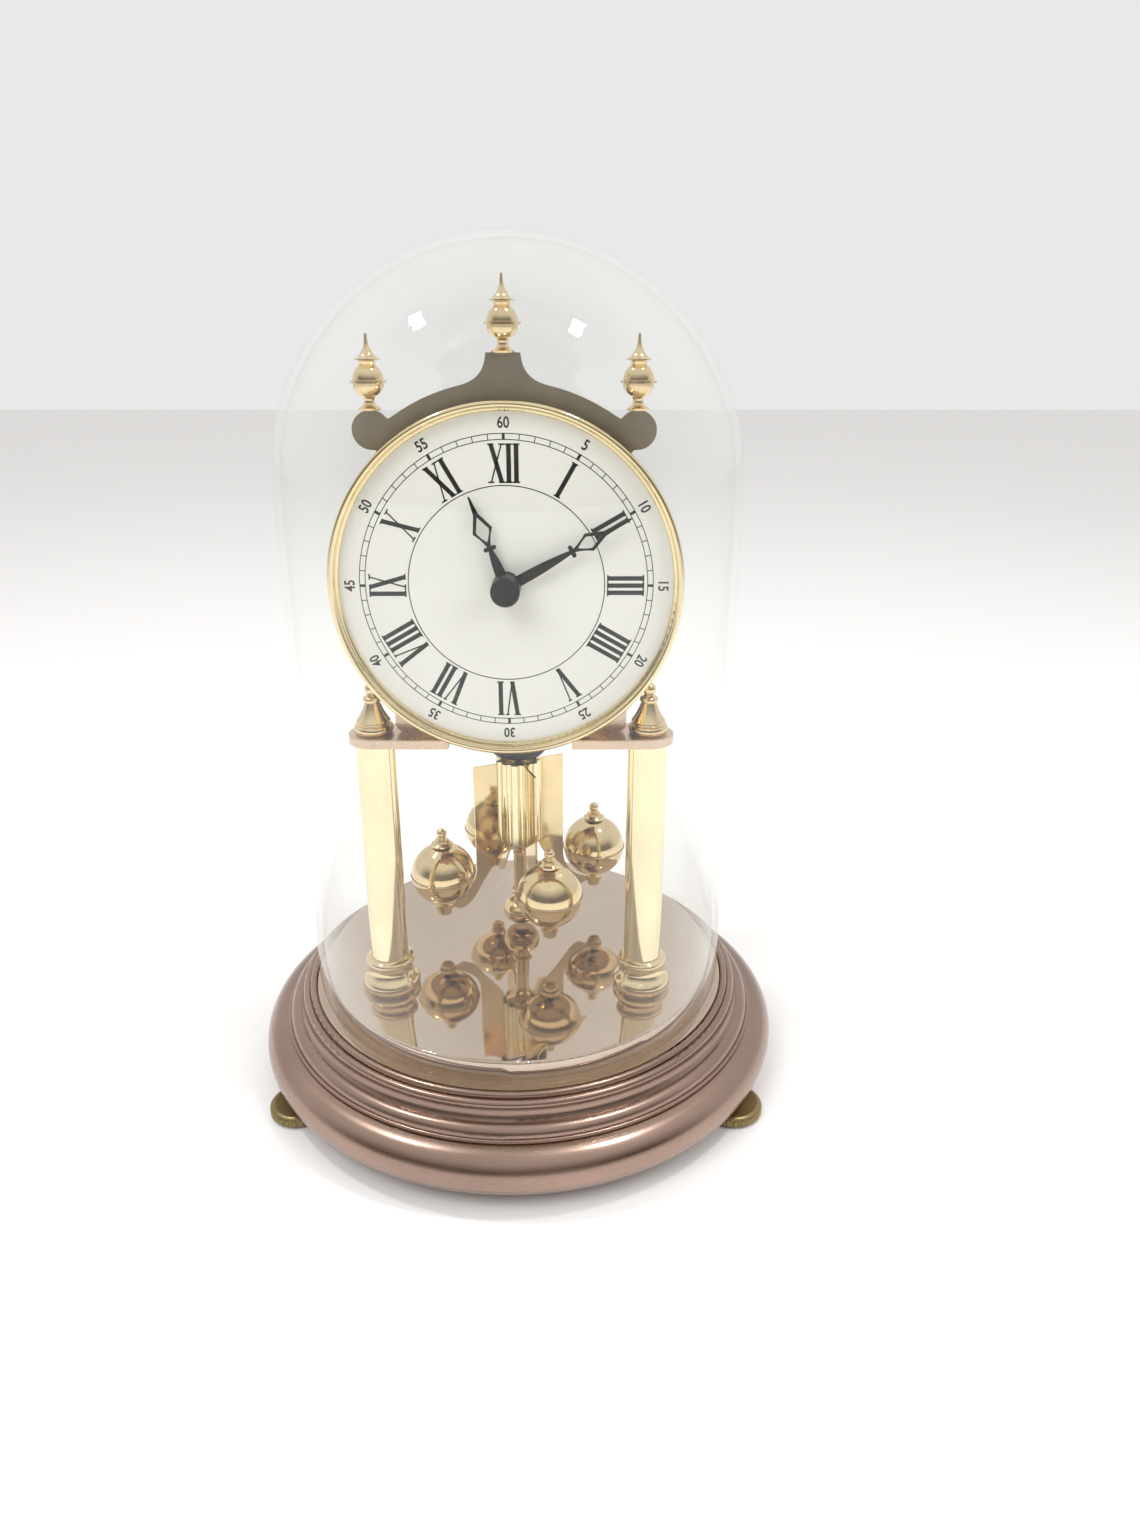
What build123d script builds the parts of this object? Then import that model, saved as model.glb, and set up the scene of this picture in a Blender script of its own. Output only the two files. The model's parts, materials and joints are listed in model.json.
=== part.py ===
from build123d import *
from math import cos, pi, radians, sin, sqrt
import os

# Glass-domed anniversary clock with a battery movement and a turning four-ball pendulum.
# Millimetres. +Z is up, the dial faces -Y, and the origin is on the table under the
# centre of the base.

os.makedirs("parts", exist_ok=True)

# ---------------------------------------------------------------- driving dimensions
fit = 0.05                  # radial room where one fixed piece sits in another
running = 0.06              # radial room of a shaft that turns in its bearing
apart = 0.3                 # room between pieces that move past each other

# Glass dome
dome_radius = 74.5          # outside
dome_room = 10.3            # tip of the middle finial up to the glass
glass = 2.5
seat_gap = 0.2              # glass lip above its seat
lip_round = 0.9

# Base
base_radius = 95.6          # widest line of the big round
base_height = 41.0          # table to the top of the mirror plate
base_gap = 4.8              # table to the underside of the moulding
round_radius = 8.6          # the big round
shell = 1.2                 # metal of the moulding
seat_depth = 7.1            # top of the mirror plate down to the glass seat
pan_room = 1.0              # inside of the glass to the wall of the mirror plate
pan_metal = 1.0
flange_metal = 0.8
flange_reach = 1.3          # flange beyond the glass
rim_width = 3.0             # turned-in edge under the moulding
backing_metal = 1.6
floor_metal = 1.2
post_circle = 55.0
post_radius = 3.0
post_angles = (30, 150, 270)

# Screws, all of one size
screw_head = 2.1
screw_radius = 1.1
screw_length = 4.5

# Levelling feet
foot_inset = 6.6            # widest line of the base to a foot's centre
foot_angles = {"left": 210, "right": 330, "back": 90}
foot_radius = 10.4
foot_disc = 3.7             # thickness of the thumb disc
foot_pad = 6.4
foot_pad_height = 0.8
foot_stud = 2.0
foot_stud_top = 14.0
foot_grooves = 26
bush_radius = 3.3
bush_length = 10.0

# Columns and platform
column_x = 44.7
column_y = -25.5
column_radius = 6.5
column_wall = 0.8
column_length = 93.6        # mirror plate to platform
column_foot_radius = 10.2
column_foot_height = 12.6
rod_radius = 2.0
rod_nut = 4.0
rod_nut_height = 3.2
platform_metal = 3.0
platform_end = 8.3          # radius of the platform's rounded ends
platform_wing = 31.0        # half width of the platform's rear part
platform_back = 34.0
column_finial_height = 16.8

# Dial, bezel and crest
dial_rise = 50.2            # platform up to the dial's centre
bezel_radius = 53.6
bezel_wall = 1.5
bezel_front = -37.2
bezel_sight = 50.5          # radius of the dial that shows
crest_front = -27.7
crest_metal = 2.0
crest_arc = 60.6
crest_disc = 53.0
lobe_radius = 5.6
lobe_x = 39.0
lobe_rise = 44.7            # above the dial's centre, as are the next two
pedestal_rise = 66.0
pedestal_half = 5.0
dial_metal = 0.8
dial_recess = 3.7           # front of the bezel to the dial
support_metal = 1.5
support_half = 37.5
support_rise = 34.2
support_foot = 14.0
finial_height = 21.0

# Hands
hand_metal = 0.4
hour_reach = 28.7
minute_reach = 42.6
hour_angle = -21.5          # clockwise from twelve
minute_angle = 61.0
hour_hand_y = -35.5         # rear face
minute_hand_y = -36.6
hand_nut_radius = 4.4
hand_nut_length = 6.5

# Movement
case_half = 33.0
case_rise = 26.2            # dial's centre up to the top of the case
case_back = 6.0
case_wall = 2.0
cover_metal = 2.0
train_plate_front = -12.4
train_plate_metal = 1.5
arbor_drop = 12.0           # centre distance of both gear pairs
cannon_teeth, wheel_teeth = 12, 36
pinion_teeth, hour_teeth = 10, 40
bush_outer = 4.0
pipe_radius = 3.0
cannon_radius = 1.8
setting_radius = 1.5
knob_radius = 6.0
knob_length = 5.0
board_metal = 1.5
battery_radius = 7.1
battery_length = 50.5
battery_y = 17.5
battery_drop = 31.8         # dial's centre down to the battery
tray_wall = 1.6

# Pendulum and its drive
pendulum_y = 17.8
boss_radius = 10.0
boss_depth = 21.2           # platform down to the foot of the boss
boss_floor = 4.0
boss_wall = 1.4
spindle_radius = 1.25
fluted_drop = 2.7           # boss down to the fluted column
fluted_length = 32.5
fluted_radius = 8.5
fluted_bore = 6.6
flutes = 12
arm_metal = 0.8
arm_count = 4
arm_start = 22.5            # turn of the front arm from -Y towards +X
ball_radius = 11.9
ball_circle = 30.9
ball_drop = 9.5             # fluted column down to the balls' centres
ball_wall = 0.6
ball_rod = 1.2
arm_gap = 1.3               # ball to the inside of its arm
arm_width = 4.6             # under the ball
tab_metal = 1.6             # seat of the ball's rod
stem_radius = 2.6
knob_gap = 1.4              # mirror plate up to the bob
bob_radius = 7.0
bob_height = 9.6

# ---------------------------------------------------------------- derived places
seat_z = base_height - seat_depth
foot_circle = base_radius - foot_inset
pan_radius = dome_radius - glass - pan_room
pan_inner = pan_radius - pan_metal
flange_radius = dome_radius + flange_reach
land_z = seat_z - flange_metal
round_r = base_radius - round_radius
round_z = base_gap + round_radius
rim_top = base_gap + shell
floor_top = rim_top + floor_metal
backing_top = base_height - pan_metal
backing_bottom = backing_top - backing_metal
platform_bottom = base_height + column_length
platform_top = platform_bottom + platform_metal
dial_z = platform_top + dial_rise
lobe_z = dial_z + lobe_rise
pedestal_z = dial_z + pedestal_rise
support_top = dial_z + support_rise
case_top = dial_z + case_rise
battery_z = dial_z - battery_drop
boss_bottom = platform_bottom - boss_depth
fluted_top = boss_bottom - fluted_drop
fluted_bottom = fluted_top - fluted_length
ball_z = fluted_bottom - ball_drop
knob_bottom = base_height + knob_gap
dome_height = pedestal_z + finial_height + dome_room + glass - seat_z - seat_gap
dial_front = bezel_front + dial_recess
dial_back = dial_front + dial_metal
crest_back = crest_front + crest_metal
crest_middle = crest_front + crest_metal / 2
case_front = crest_back + support_metal
case_bottom = platform_top + support_metal + 0.2
case_inside = case_front + case_wall
arbor_z = dial_z - arbor_drop
cover_back = case_back + cover_metal
column_places = [(-column_x, column_y), (column_x, column_y)]
column_names = ("left", "right")


def save(piece, name):
    """Label a finished sub-part and write it."""
    piece.part.label = name
    export_step(piece.part, f"parts/{name}.step")


def front(y, x=0.0, z=dial_z, turn=0.0):
    """Plane that faces the viewer at depth y, turned clockwise as the viewer sees it."""
    a = radians(turn)
    return Plane(origin=(x, y, z), x_dir=(cos(a), 0, -sin(a)), z_dir=(0, -1, 0))


def side(x=0.0, y=0.0):
    """Upright plane through (x, y): local x is the radius, local y is height."""
    return Plane(origin=(x, y, 0), x_dir=(1, 0, 0), z_dir=(0, -1, 0))


def polar(radius, angle, cy=0.0):
    """Point at a radius and an angle about (0, cy)."""
    return (radius * cos(radians(angle)), cy + radius * sin(radians(angle)))


def under(z):
    """Level plane at height z that faces down; its local y runs towards -Y."""
    return Plane(origin=(0, 0, z), x_dir=(1, 0, 0), z_dir=(0, 0, -1))


def turned(places, outline):
    """Equal solids of revolution about the upright axes through the places."""
    with BuildPart() as body:
        for x, y in places:
            with BuildSketch(side(x, y)):
                with BuildLine():
                    outline()
                make_face()
            revolve(axis=Axis((x, y, 0), (0, 0, 1)))
    return body


def screws(*rows):
    """Slotted round-head screws in one node; each row is (plane they stand on, places)."""
    height = 0.65 * screw_head
    with BuildPart() as group:
        for plane, places in rows:
            with BuildSketch(plane):
                with Locations(*places):
                    Circle(screw_head)
            extrude(amount=height)
            crowns = group.faces(Select.LAST).sort_by(Axis(plane.origin, plane.z_dir))[-len(places):]
            fillet(crowns.edges(), 0.3 * screw_head)
            with BuildSketch(plane.offset(height)):
                with Locations(*places):
                    Rectangle(2 * screw_head, 0.3 * screw_head)
            extrude(amount=-0.4 * height, mode=Mode.SUBTRACT)
            with BuildSketch(plane):
                with Locations(*places):
                    Circle(screw_radius)
            extrude(amount=-screw_length)
    return group


def rear(y):
    """Plane that faces backwards at depth y; its local x runs towards -X."""
    return Plane(origin=(0, y, 0), x_dir=(-1, 0, 0), z_dir=(0, 1, 0))


# ---------------------------------------------------------------- base
foot_places = {name: polar(foot_circle, angle) for name, angle in foot_angles.items()}


def moulding_outline():
    """Spun section: seat land, two beads, cove, quarter round, thin bead and big round."""
    bead = flange_radius + 0.2
    inner = round_radius - shell
    top_x = round_r - 0.8
    top_z = round_z + sqrt(inner ** 2 - 0.8 ** 2)
    wide = (round_r - bead) / 11.0                        # steps are drawn 11.0 wide
    deep = (land_z - round_z - round_radius) / 11.1       # and 11.1 deep

    def at(out, down):
        return (bead + out * wide, land_z - down * deep)

    Polyline((pan_inner, land_z - 1.5), (pan_inner, land_z), at(0, 0), at(0, -0.4))
    ThreePointArc(at(0, -0.4), at(1.3, -1.5), at(2.6, 0.3))
    ThreePointArc(at(2.6, 0.3), at(4.2, 0.1), at(5.2, 1.8))
    ThreePointArc(at(5.2, 1.8), at(5.2, 4.3), at(6.4, 6.4))
    ThreePointArc(at(6.4, 6.4), at(9.3, 7.2), at(10.4, 9.8))
    ThreePointArc(at(10.4, 9.8), at(11.4, 10.4), (round_r, round_z + round_radius))
    ThreePointArc((round_r, round_z + round_radius), (base_radius, round_z), (round_r, base_gap))
    Polyline((round_r, base_gap), (round_r - rim_width, base_gap), (round_r - rim_width, rim_top),
             (round_r, rim_top))
    ThreePointArc((round_r, rim_top), (round_r + inner, round_z), (top_x, top_z))
    Polyline((top_x, top_z), at(8.6, 10.5), at(4.9, 6.9), at(4.0, 2.9), at(1.0, 1.5),
             (pan_inner, land_z - 1.5))


with BuildPart() as base_moulding:
    with BuildSketch(Plane.XZ):
        with BuildLine():
            moulding_outline()
        make_face()
    revolve(axis=Axis.Z)
    with BuildSketch(Plane.XY):
        with Locations(*foot_places.values()):
            Circle(bush_radius + fit)
    extrude(amount=round_z, mode=Mode.SUBTRACT)
save(base_moulding, "base_moulding")

with BuildPart() as mirror_plate:
    with BuildSketch(Plane.XZ):
        with BuildLine():
            Polyline((0, backing_top), (pan_inner, backing_top), (pan_inner, land_z),
                     (flange_radius, land_z), (flange_radius, seat_z), (pan_radius, seat_z),
                     (pan_radius, base_height - pan_metal))
            RadiusArc((pan_radius, base_height - pan_metal), (pan_radius - pan_metal, base_height),
                      -pan_metal)
            Polyline((pan_radius - pan_metal, base_height), (0, base_height), (0, backing_top))
        make_face()
    revolve(axis=Axis.Z)
    with Locations(*column_places):
        Cylinder(rod_radius + fit, 3 * base_height, mode=Mode.SUBTRACT)
save(mirror_plate, "mirror_plate")

with BuildPart() as backing_plate:
    with BuildSketch(Plane.XY.offset(backing_bottom)):
        Circle(pan_inner - apart)
        with Locations(*column_places):
            Circle(rod_radius + fit, mode=Mode.SUBTRACT)
    extrude(amount=backing_metal)
    with BuildSketch(Plane.XY.offset(floor_top)):
        with PolarLocations(post_circle, len(post_angles), post_angles[0]):
            Circle(post_radius)
    extrude(amount=backing_bottom - floor_top)
    with BuildSketch(Plane.XY.offset(floor_top)):
        with PolarLocations(post_circle, len(post_angles), post_angles[0]):
            Circle(screw_radius + fit)
    extrude(amount=screw_length, mode=Mode.SUBTRACT)
save(backing_plate, "backing_plate")

with BuildPart() as base_floor:
    with BuildSketch(Plane.XY.offset(rim_top)):
        Circle(round_r - shell)
        with PolarLocations(post_circle, len(post_angles), post_angles[0]):
            Circle(screw_radius + fit, mode=Mode.SUBTRACT)
        with Locations(*foot_places.values()):
            Circle(bush_radius + fit, mode=Mode.SUBTRACT)
    extrude(amount=floor_metal)
save(base_floor, "base_floor")

with BuildPart() as foot_bushes:
    with BuildSketch(Plane.XY.offset(base_gap + 0.4)):
        with Locations(*foot_places.values()):
            Circle(bush_radius)
            Circle(foot_stud + running, mode=Mode.SUBTRACT)
    extrude(amount=bush_length)
save(foot_bushes, "foot_bushes")


def foot_outline():
    """Pad, domed thumb disc and threaded stud."""
    disc_top = foot_pad_height + foot_disc
    Polyline((0, 0), (foot_pad, 0), (foot_pad, foot_pad_height),
             (foot_radius - 0.4, foot_pad_height), (foot_radius, foot_pad_height + 0.4),
             (foot_radius, disc_top - 1.2))
    ThreePointArc((foot_radius, disc_top - 1.2), (foot_radius - 0.6, disc_top - 0.4),
                  (foot_radius - 2.0, disc_top))
    Polyline((foot_radius - 2.0, disc_top), (foot_stud, disc_top), (foot_stud, foot_stud_top - 0.5),
             (foot_stud - 0.5, foot_stud_top), (0, foot_stud_top), (0, 0))


for foot_name, foot_place in foot_places.items():
    with BuildPart() as levelling_foot:
        with BuildSketch(side(*foot_place)):
            with BuildLine():
                foot_outline()
            make_face()
        revolve(axis=Axis((*foot_place, 0), (0, 0, 1)))
        with BuildSketch(Plane.XY.offset(foot_pad_height)):
            with Locations(foot_place):
                with PolarLocations(foot_radius + 0.25, foot_grooves):
                    Circle(0.6)
        extrude(amount=foot_disc, mode=Mode.SUBTRACT)
    save(levelling_foot, f"levelling_foot_{foot_name}")


# ---------------------------------------------------------------- columns and platform
def column_foot_outline():
    """Torus, cove and upper bead of the turned column foot."""
    r0, r1, z0 = column_radius + fit, column_foot_radius, base_height
    Polyline((r0, z0), (r1 - 0.8, z0))
    ThreePointArc((r1 - 0.8, z0), (r1, z0 + 2.2), (r1 - 0.9, z0 + 4.4))
    ThreePointArc((r1 - 0.9, z0 + 4.4), (r1 - 2.3, z0 + 6.0), (r1 - 2.6, z0 + 9.4))
    ThreePointArc((r1 - 2.6, z0 + 9.4), (r1 - 1.6, z0 + 10.8), (r1 - 2.6, z0 + 12.1))
    Polyline((r1 - 2.6, z0 + 12.1), (r0 + 0.4, z0 + column_foot_height), (r0, z0 + column_foot_height),
             (r0, z0))


def column_finial_outline():
    """Ring, cone, collar and ball above the platform, with a blind bore for the rod."""
    bore, z0 = rod_radius + fit, platform_top
    Polyline((bore, z0 + 6.5), (bore, z0), (5.6, z0))
    ThreePointArc((5.6, z0), (6.4, z0 + 1.4), (5.8, z0 + 3.0))
    ThreePointArc((5.8, z0 + 3.0), (5.1, z0 + 3.5), (5.5, z0 + 4.2))
    ThreePointArc((5.5, z0 + 4.2), (3.7, z0 + 7.2), (2.45, z0 + 10.3))
    ThreePointArc((2.45, z0 + 10.3), (3.0, z0 + 11.2), (2.2, z0 + 12.3))
    ball = 2.2
    ball_mid = z0 + column_finial_height - ball
    Line((2.2, z0 + 12.3), (1.3, ball_mid - sqrt(ball ** 2 - 1.3 ** 2)))
    ThreePointArc((1.3, ball_mid - sqrt(ball ** 2 - 1.3 ** 2)), (ball, ball_mid), (0, ball_mid + ball))
    Polyline((0, z0 + column_finial_height), (0, z0 + 6.5), (bore, z0 + 6.5))


for column_name, (x, y) in zip(column_names, column_places):
    with BuildPart() as column:
        with BuildSketch(Plane.XY.offset(base_height)):
            with Locations((x, y)):
                Circle(column_radius)
                Circle(column_radius - column_wall, mode=Mode.SUBTRACT)
        extrude(amount=column_length)
    save(column, f"column_{column_name}")

save(turned(column_places, column_foot_outline), "column_feet")
save(turned(column_places, column_finial_outline), "column_finials")

with BuildPart() as tie_rods:
    with BuildSketch(Plane.XY.offset(backing_bottom - rod_nut_height - 1)):
        with Locations(*column_places):
            Circle(rod_radius)
    extrude(amount=platform_top + 6.0 - (backing_bottom - rod_nut_height - 1))
save(tie_rods, "tie_rods")

with BuildPart() as rod_nuts:
    with BuildSketch(Plane.XY.offset(backing_bottom - rod_nut_height)):
        with Locations(*column_places):
            RegularPolygon(rod_nut, 6)
            Circle(rod_radius + fit, mode=Mode.SUBTRACT)
    extrude(amount=rod_nut_height)
save(rod_nuts, "rod_nuts")

support_screw_places = [(-28.0, case_front + 8.0), (28.0, case_front + 8.0)]
notch_half = sqrt(bezel_radius ** 2 - (dial_z - platform_top) ** 2) + 1.0
platform_front = column_y - platform_end
with BuildPart() as platform:
    with BuildSketch(Plane.XY.offset(platform_bottom)):
        with Locations((0, column_y)):
            SlotCenterToCenter(2 * column_x, 2 * platform_end)
        with Locations((0, (column_y + platform_back) / 2)):
            RectangleRounded(2 * platform_wing, platform_back - column_y, 4)
        with Locations((0, platform_front)):
            Rectangle(2 * notch_half, 2 * (crest_back + fit - platform_front), mode=Mode.SUBTRACT)
        with Locations(*column_places):
            Circle(rod_radius + fit, mode=Mode.SUBTRACT)
        with Locations((0, pendulum_y)):
            Circle(boss_radius + fit, mode=Mode.SUBTRACT)
        with Locations(*support_screw_places):
            Circle(screw_radius + fit, mode=Mode.SUBTRACT)
    extrude(amount=platform_metal)
    chamfer(platform.faces().sort_by(Axis.Z)[-1].edges(), 0.3)
save(platform, "platform")

# ---------------------------------------------------------------- dial support and crest
crest_screw_places = [(-26, 16), (26, 16), (0, -30)]
with BuildPart() as dial_support:
    with BuildSketch(front(case_front, z=0)):
        with Locations((0, (support_top + platform_top) / 2)):
            RectangleRounded(2 * support_half, support_top - platform_top, 3)
        with Locations((0, dial_z)):
            Circle(bush_outer + fit, mode=Mode.SUBTRACT)
            with Locations(*crest_screw_places):
                Circle(screw_radius + fit, mode=Mode.SUBTRACT)
    extrude(amount=support_metal)
    with BuildSketch(Plane.XY.offset(platform_top)):
        with Locations((0, case_front + support_foot / 2 - support_metal / 2)):
            Rectangle(2 * support_half - 12, support_foot + support_metal)
        with Locations(*support_screw_places):
            Circle(screw_radius + fit, mode=Mode.SUBTRACT)
    extrude(amount=support_metal)
save(dial_support, "dial_support")

finial_feet = [(-lobe_x, lobe_z + lobe_radius), (0, pedestal_z), (lobe_x, lobe_z + lobe_radius)]
with BuildPart() as crest_plate:
    with BuildSketch(front(crest_back)) as crest_face:
        with BuildLine():
            rise, drop = pedestal_z - dial_z, sqrt(crest_arc ** 2 - 17.5 ** 2)
            end_x, end_z = lobe_x - 2.5, sqrt(crest_arc ** 2 - (lobe_x - 2.5) ** 2)
            Line((-pedestal_half, rise), (pedestal_half, rise))
            for way in (-1, 1):
                mid_x, mid_z = way * 9.2, rise - 8.6
                Spline((way * pedestal_half, rise), (way * 5.6, rise - 3.2), (mid_x, mid_z),
                       (way * 17.5, drop), tangents=[(way * 0.1, -1), (way * 1, -0.31)])
                RadiusArc((way * 17.5, drop), (way * end_x, end_z), way * crest_arc)
                Line((way * end_x, end_z), (way * 30, 0))
            Line((-30, 0), (30, 0))
        make_face()
        with Locations((-lobe_x, lobe_z - dial_z), (lobe_x, lobe_z - dial_z)):
            Circle(lobe_radius)
        Circle(crest_disc)
        Circle(bush_outer + fit, mode=Mode.SUBTRACT)
        with Locations(*crest_screw_places):
            Circle(screw_radius + fit, mode=Mode.SUBTRACT)
    extrude(amount=crest_metal)
    for x, z in finial_feet:
        with BuildSketch(Plane.XY.offset(z)):
            with Locations((x, crest_middle)):
                Circle(0.75)
        extrude(amount=-4, mode=Mode.SUBTRACT)
save(crest_plate, "crest_plate")


def crest_finial_outline():
    """Stud, foot, waist, belted ball, neck, drip disc and concave spire, from z = 0 up."""
    h = finial_height
    Polyline((0, -3.8), (0.7, -3.8), (0.7, 0), (3.3, 0), (3.4, 0.4), (2.9, 0.8))
    ThreePointArc((2.9, 0.8), (1.8, 1.6), (1.6, 3.0))
    Line((1.6, 3.0), (2.1, 3.7))
    ThreePointArc((2.1, 3.7), (3.8, 5.0), (4.5, 7.3))
    Polyline((4.5, 7.3), (5.3, 7.5), (5.3, 8.2), (4.5, 8.4))
    ThreePointArc((4.5, 8.4), (3.9, 10.5), (2.6, 12.1))
    Polyline((2.6, 12.1), (2.3, 12.6), (2.5, 13.3), (3.7, 13.7), (3.7, 14.0))
    Spline((3.7, 14.0), (1.5, 16.0), (0.55, h - 2.2), tangents=[(-1, 0.35), (-0.1, 1)])
    Line((0.55, h - 2.2), (0.45, h - 0.45))
    ThreePointArc((0.45, h - 0.45), (0.45 * sqrt(0.5), h - 0.45 * (1 - sqrt(0.5))), (0, h))
    Line((0, h), (0, -3.8))


with BuildPart() as crest_finials:
    for x, z in finial_feet:
        with BuildSketch(Plane(origin=(x, crest_middle, z), x_dir=(1, 0, 0), z_dir=(0, -1, 0))):
            with BuildLine():
                crest_finial_outline()
            make_face()
        revolve(axis=Axis((x, crest_middle, 0), (0, 0, 1)))
save(crest_finials, "crest_finials")

save(screws((under(rim_top), [polar(post_circle, -a) for a in post_angles]),
            (under(platform_bottom), [(x, -y) for x, y in support_screw_places]),
            (front(crest_front), crest_screw_places)), "frame_screws")

# ---------------------------------------------------------------- bezel and dial
with BuildPart() as bezel:
    with BuildSketch(Plane(origin=(0, 0, dial_z), x_dir=(1, 0, 0), z_dir=(0, 0, 1))):
        with BuildLine():
            inner = bezel_radius - bezel_wall
            lip = bezel_front + 2.2
            Polyline((inner, crest_front), (bezel_radius, crest_front), (bezel_radius, bezel_front + 1.4))
            ThreePointArc((bezel_radius, bezel_front + 1.4), (bezel_radius - 0.9, bezel_front),
                          (bezel_radius - 2.0, bezel_front + 0.9))
            Line((bezel_radius - 2.0, bezel_front + 0.9), (bezel_radius - 2.1, lip))
            ThreePointArc((bezel_radius - 2.1, lip), (bezel_sight + 0.5, lip + 0.1),
                          (bezel_sight, dial_front - 0.6))
            Polyline((bezel_sight, dial_front - 0.6), (bezel_sight, dial_front), (inner, dial_front),
                     (inner, crest_front))
        make_face()
    revolve(axis=Axis((0, 0, dial_z), (0, 1, 0)))
save(bezel, "bezel")

with BuildPart() as dial:
    with BuildSketch(front(dial_back)):
        Circle(bezel_radius - bezel_wall - 0.1)
        Circle(bush_outer + apart, mode=Mode.SUBTRACT)
    extrude(amount=dial_metal)
save(dial, "dial")

with BuildPart() as dial_spacer:
    with BuildSketch(front(crest_front)):
        Circle(bezel_radius - bezel_wall - 0.1)
        Circle(bezel_sight - 3.5, mode=Mode.SUBTRACT)
    extrude(amount=crest_front - dial_back)
save(dial_spacer, "dial_spacer")


# ---------------------------------------------------------------- hands
def hand(y, turn, reach, collar, shoulder, junction, half, eye, bore):
    """Clock hand: tapered stem, cross collar, open kite loop and spear tip about an eye."""
    mid, low, wide = (collar + shoulder) / 2, collar + 2.0, half - 1.0
    with BuildPart() as blade:
        with BuildSketch(front(y, turn=turn)):
            with BuildLine():
                for way in (-1, 1):
                    ThreePointArc((way * 1.5, 0), (way * 1.45, collar * 0.55), (way * 0.5, collar))
                Line((-1.5, 0), (1.5, 0))
                Line((-0.5, collar), (0.5, collar))
            make_face()
            with Locations((0, collar)):
                SlotOverall(3.9, 1.3)
                Circle(0.95)
            with BuildLine():
                for way in (-1, 1):
                    ThreePointArc((way * 0.4, collar), (way * half * 0.45, mid), (way * half, shoulder))
                    Polyline((way * half, shoulder), (way * 0.75, junction), (way * 0.25, reach))
                Line((-0.4, collar), (0.4, collar))
                Line((-0.25, reach), (0.25, reach))
            make_face()
            with BuildLine():
                for way in (-1, 1):
                    ThreePointArc((0, low), (way * (half * 0.45 - 0.45), mid + 0.5), (way * wide, shoulder))
                    Line((way * wide, shoulder), (0, junction - 0.9))
            make_face(mode=Mode.SUBTRACT)
            Circle(eye)
            Circle(bore + fit, mode=Mode.SUBTRACT)
        extrude(amount=hand_metal)
    return blade


save(hand(hour_hand_y, hour_angle, hour_reach, 12.5, 18.1, 23.3, 3.1, hand_nut_radius, pipe_radius),
     "hour_hand")
save(hand(minute_hand_y, minute_angle, minute_reach, 22.7, 28.4, 33.8, 2.9, hand_nut_radius - 0.2,
          cannon_radius), "minute_hand")

nut_back = minute_hand_y - hand_metal
with BuildPart() as hand_nut:
    with BuildSketch(front(nut_back)):
        Circle(hand_nut_radius)
    extrude(amount=hand_nut_length)
    fillet(hand_nut.faces().sort_by(Axis.Y)[0].edges(), 0.7)
    with BuildSketch(front(nut_back)):
        Circle(cannon_radius + fit)
    extrude(amount=hand_nut_length - 1.5, mode=Mode.SUBTRACT)
save(hand_nut, "hand_nut")


# ---------------------------------------------------------------- motion work
def gear_face(teeth, module, start=0.0):
    """Spur gear with slim straight-sided teeth, so that the pair turns with free play."""
    pitch, root, tip = teeth * module / 2, (teeth / 2 - 1.2) * module, (teeth / 2 + 0.85) * module
    space = pi * module
    Circle(root)
    with PolarLocations(0, teeth, start):
        Polygon((root - 0.3, -0.26 * space), (pitch, -0.185 * space), (tip, -0.08 * space),
                (tip, 0.08 * space), (pitch, 0.185 * space), (root - 0.3, 0.26 * space), align=None)


cannon_module = 2 * arbor_drop / (cannon_teeth + wheel_teeth)
hour_module = 2 * arbor_drop / (pinion_teeth + hour_teeth)
hour_wheel_back = case_inside + 2.0
wheel_back = hour_wheel_back + 2.7
cannon_back = hour_wheel_back + 3.4
train_back = train_plate_front + train_plate_metal

with BuildPart() as centre_nut:
    with BuildSketch(front(crest_front)):
        RegularPolygon(6.4, 6)
        Circle(bush_outer + fit, mode=Mode.SUBTRACT)
    extrude(amount=2.5)
save(centre_nut, "centre_nut")

with BuildPart() as hour_wheel:
    with BuildSketch(front(hour_wheel_back)):
        gear_face(hour_teeth, hour_module)
    extrude(amount=1.4)
    with BuildSketch(front(hour_wheel_back)):
        Circle(pipe_radius)
    extrude(amount=hour_wheel_back - hour_hand_y + hand_metal)
    with BuildSketch(front(hour_wheel_back)):
        Circle(cannon_radius + running)
    extrude(amount=hour_wheel_back - hour_hand_y + hand_metal, mode=Mode.SUBTRACT)
save(hour_wheel, "hour_wheel")

with BuildPart() as cannon_pinion:
    with BuildSketch(front(train_back + 1.0)):
        Circle(cannon_radius)
    extrude(amount=train_back + 1.0 - (nut_back - hand_nut_length + 2.2))
    with BuildSketch(front(cannon_back)):
        gear_face(cannon_teeth, cannon_module)
    extrude(amount=3.0)
save(cannon_pinion, "cannon_pinion")

with BuildPart() as centre_wheel:
    with BuildSketch(front(cannon_back + 1.9)):
        gear_face(60, 0.32)
        Circle(cannon_radius + fit, mode=Mode.SUBTRACT)
    extrude(amount=1.0)
save(centre_wheel, "centre_wheel")

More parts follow.
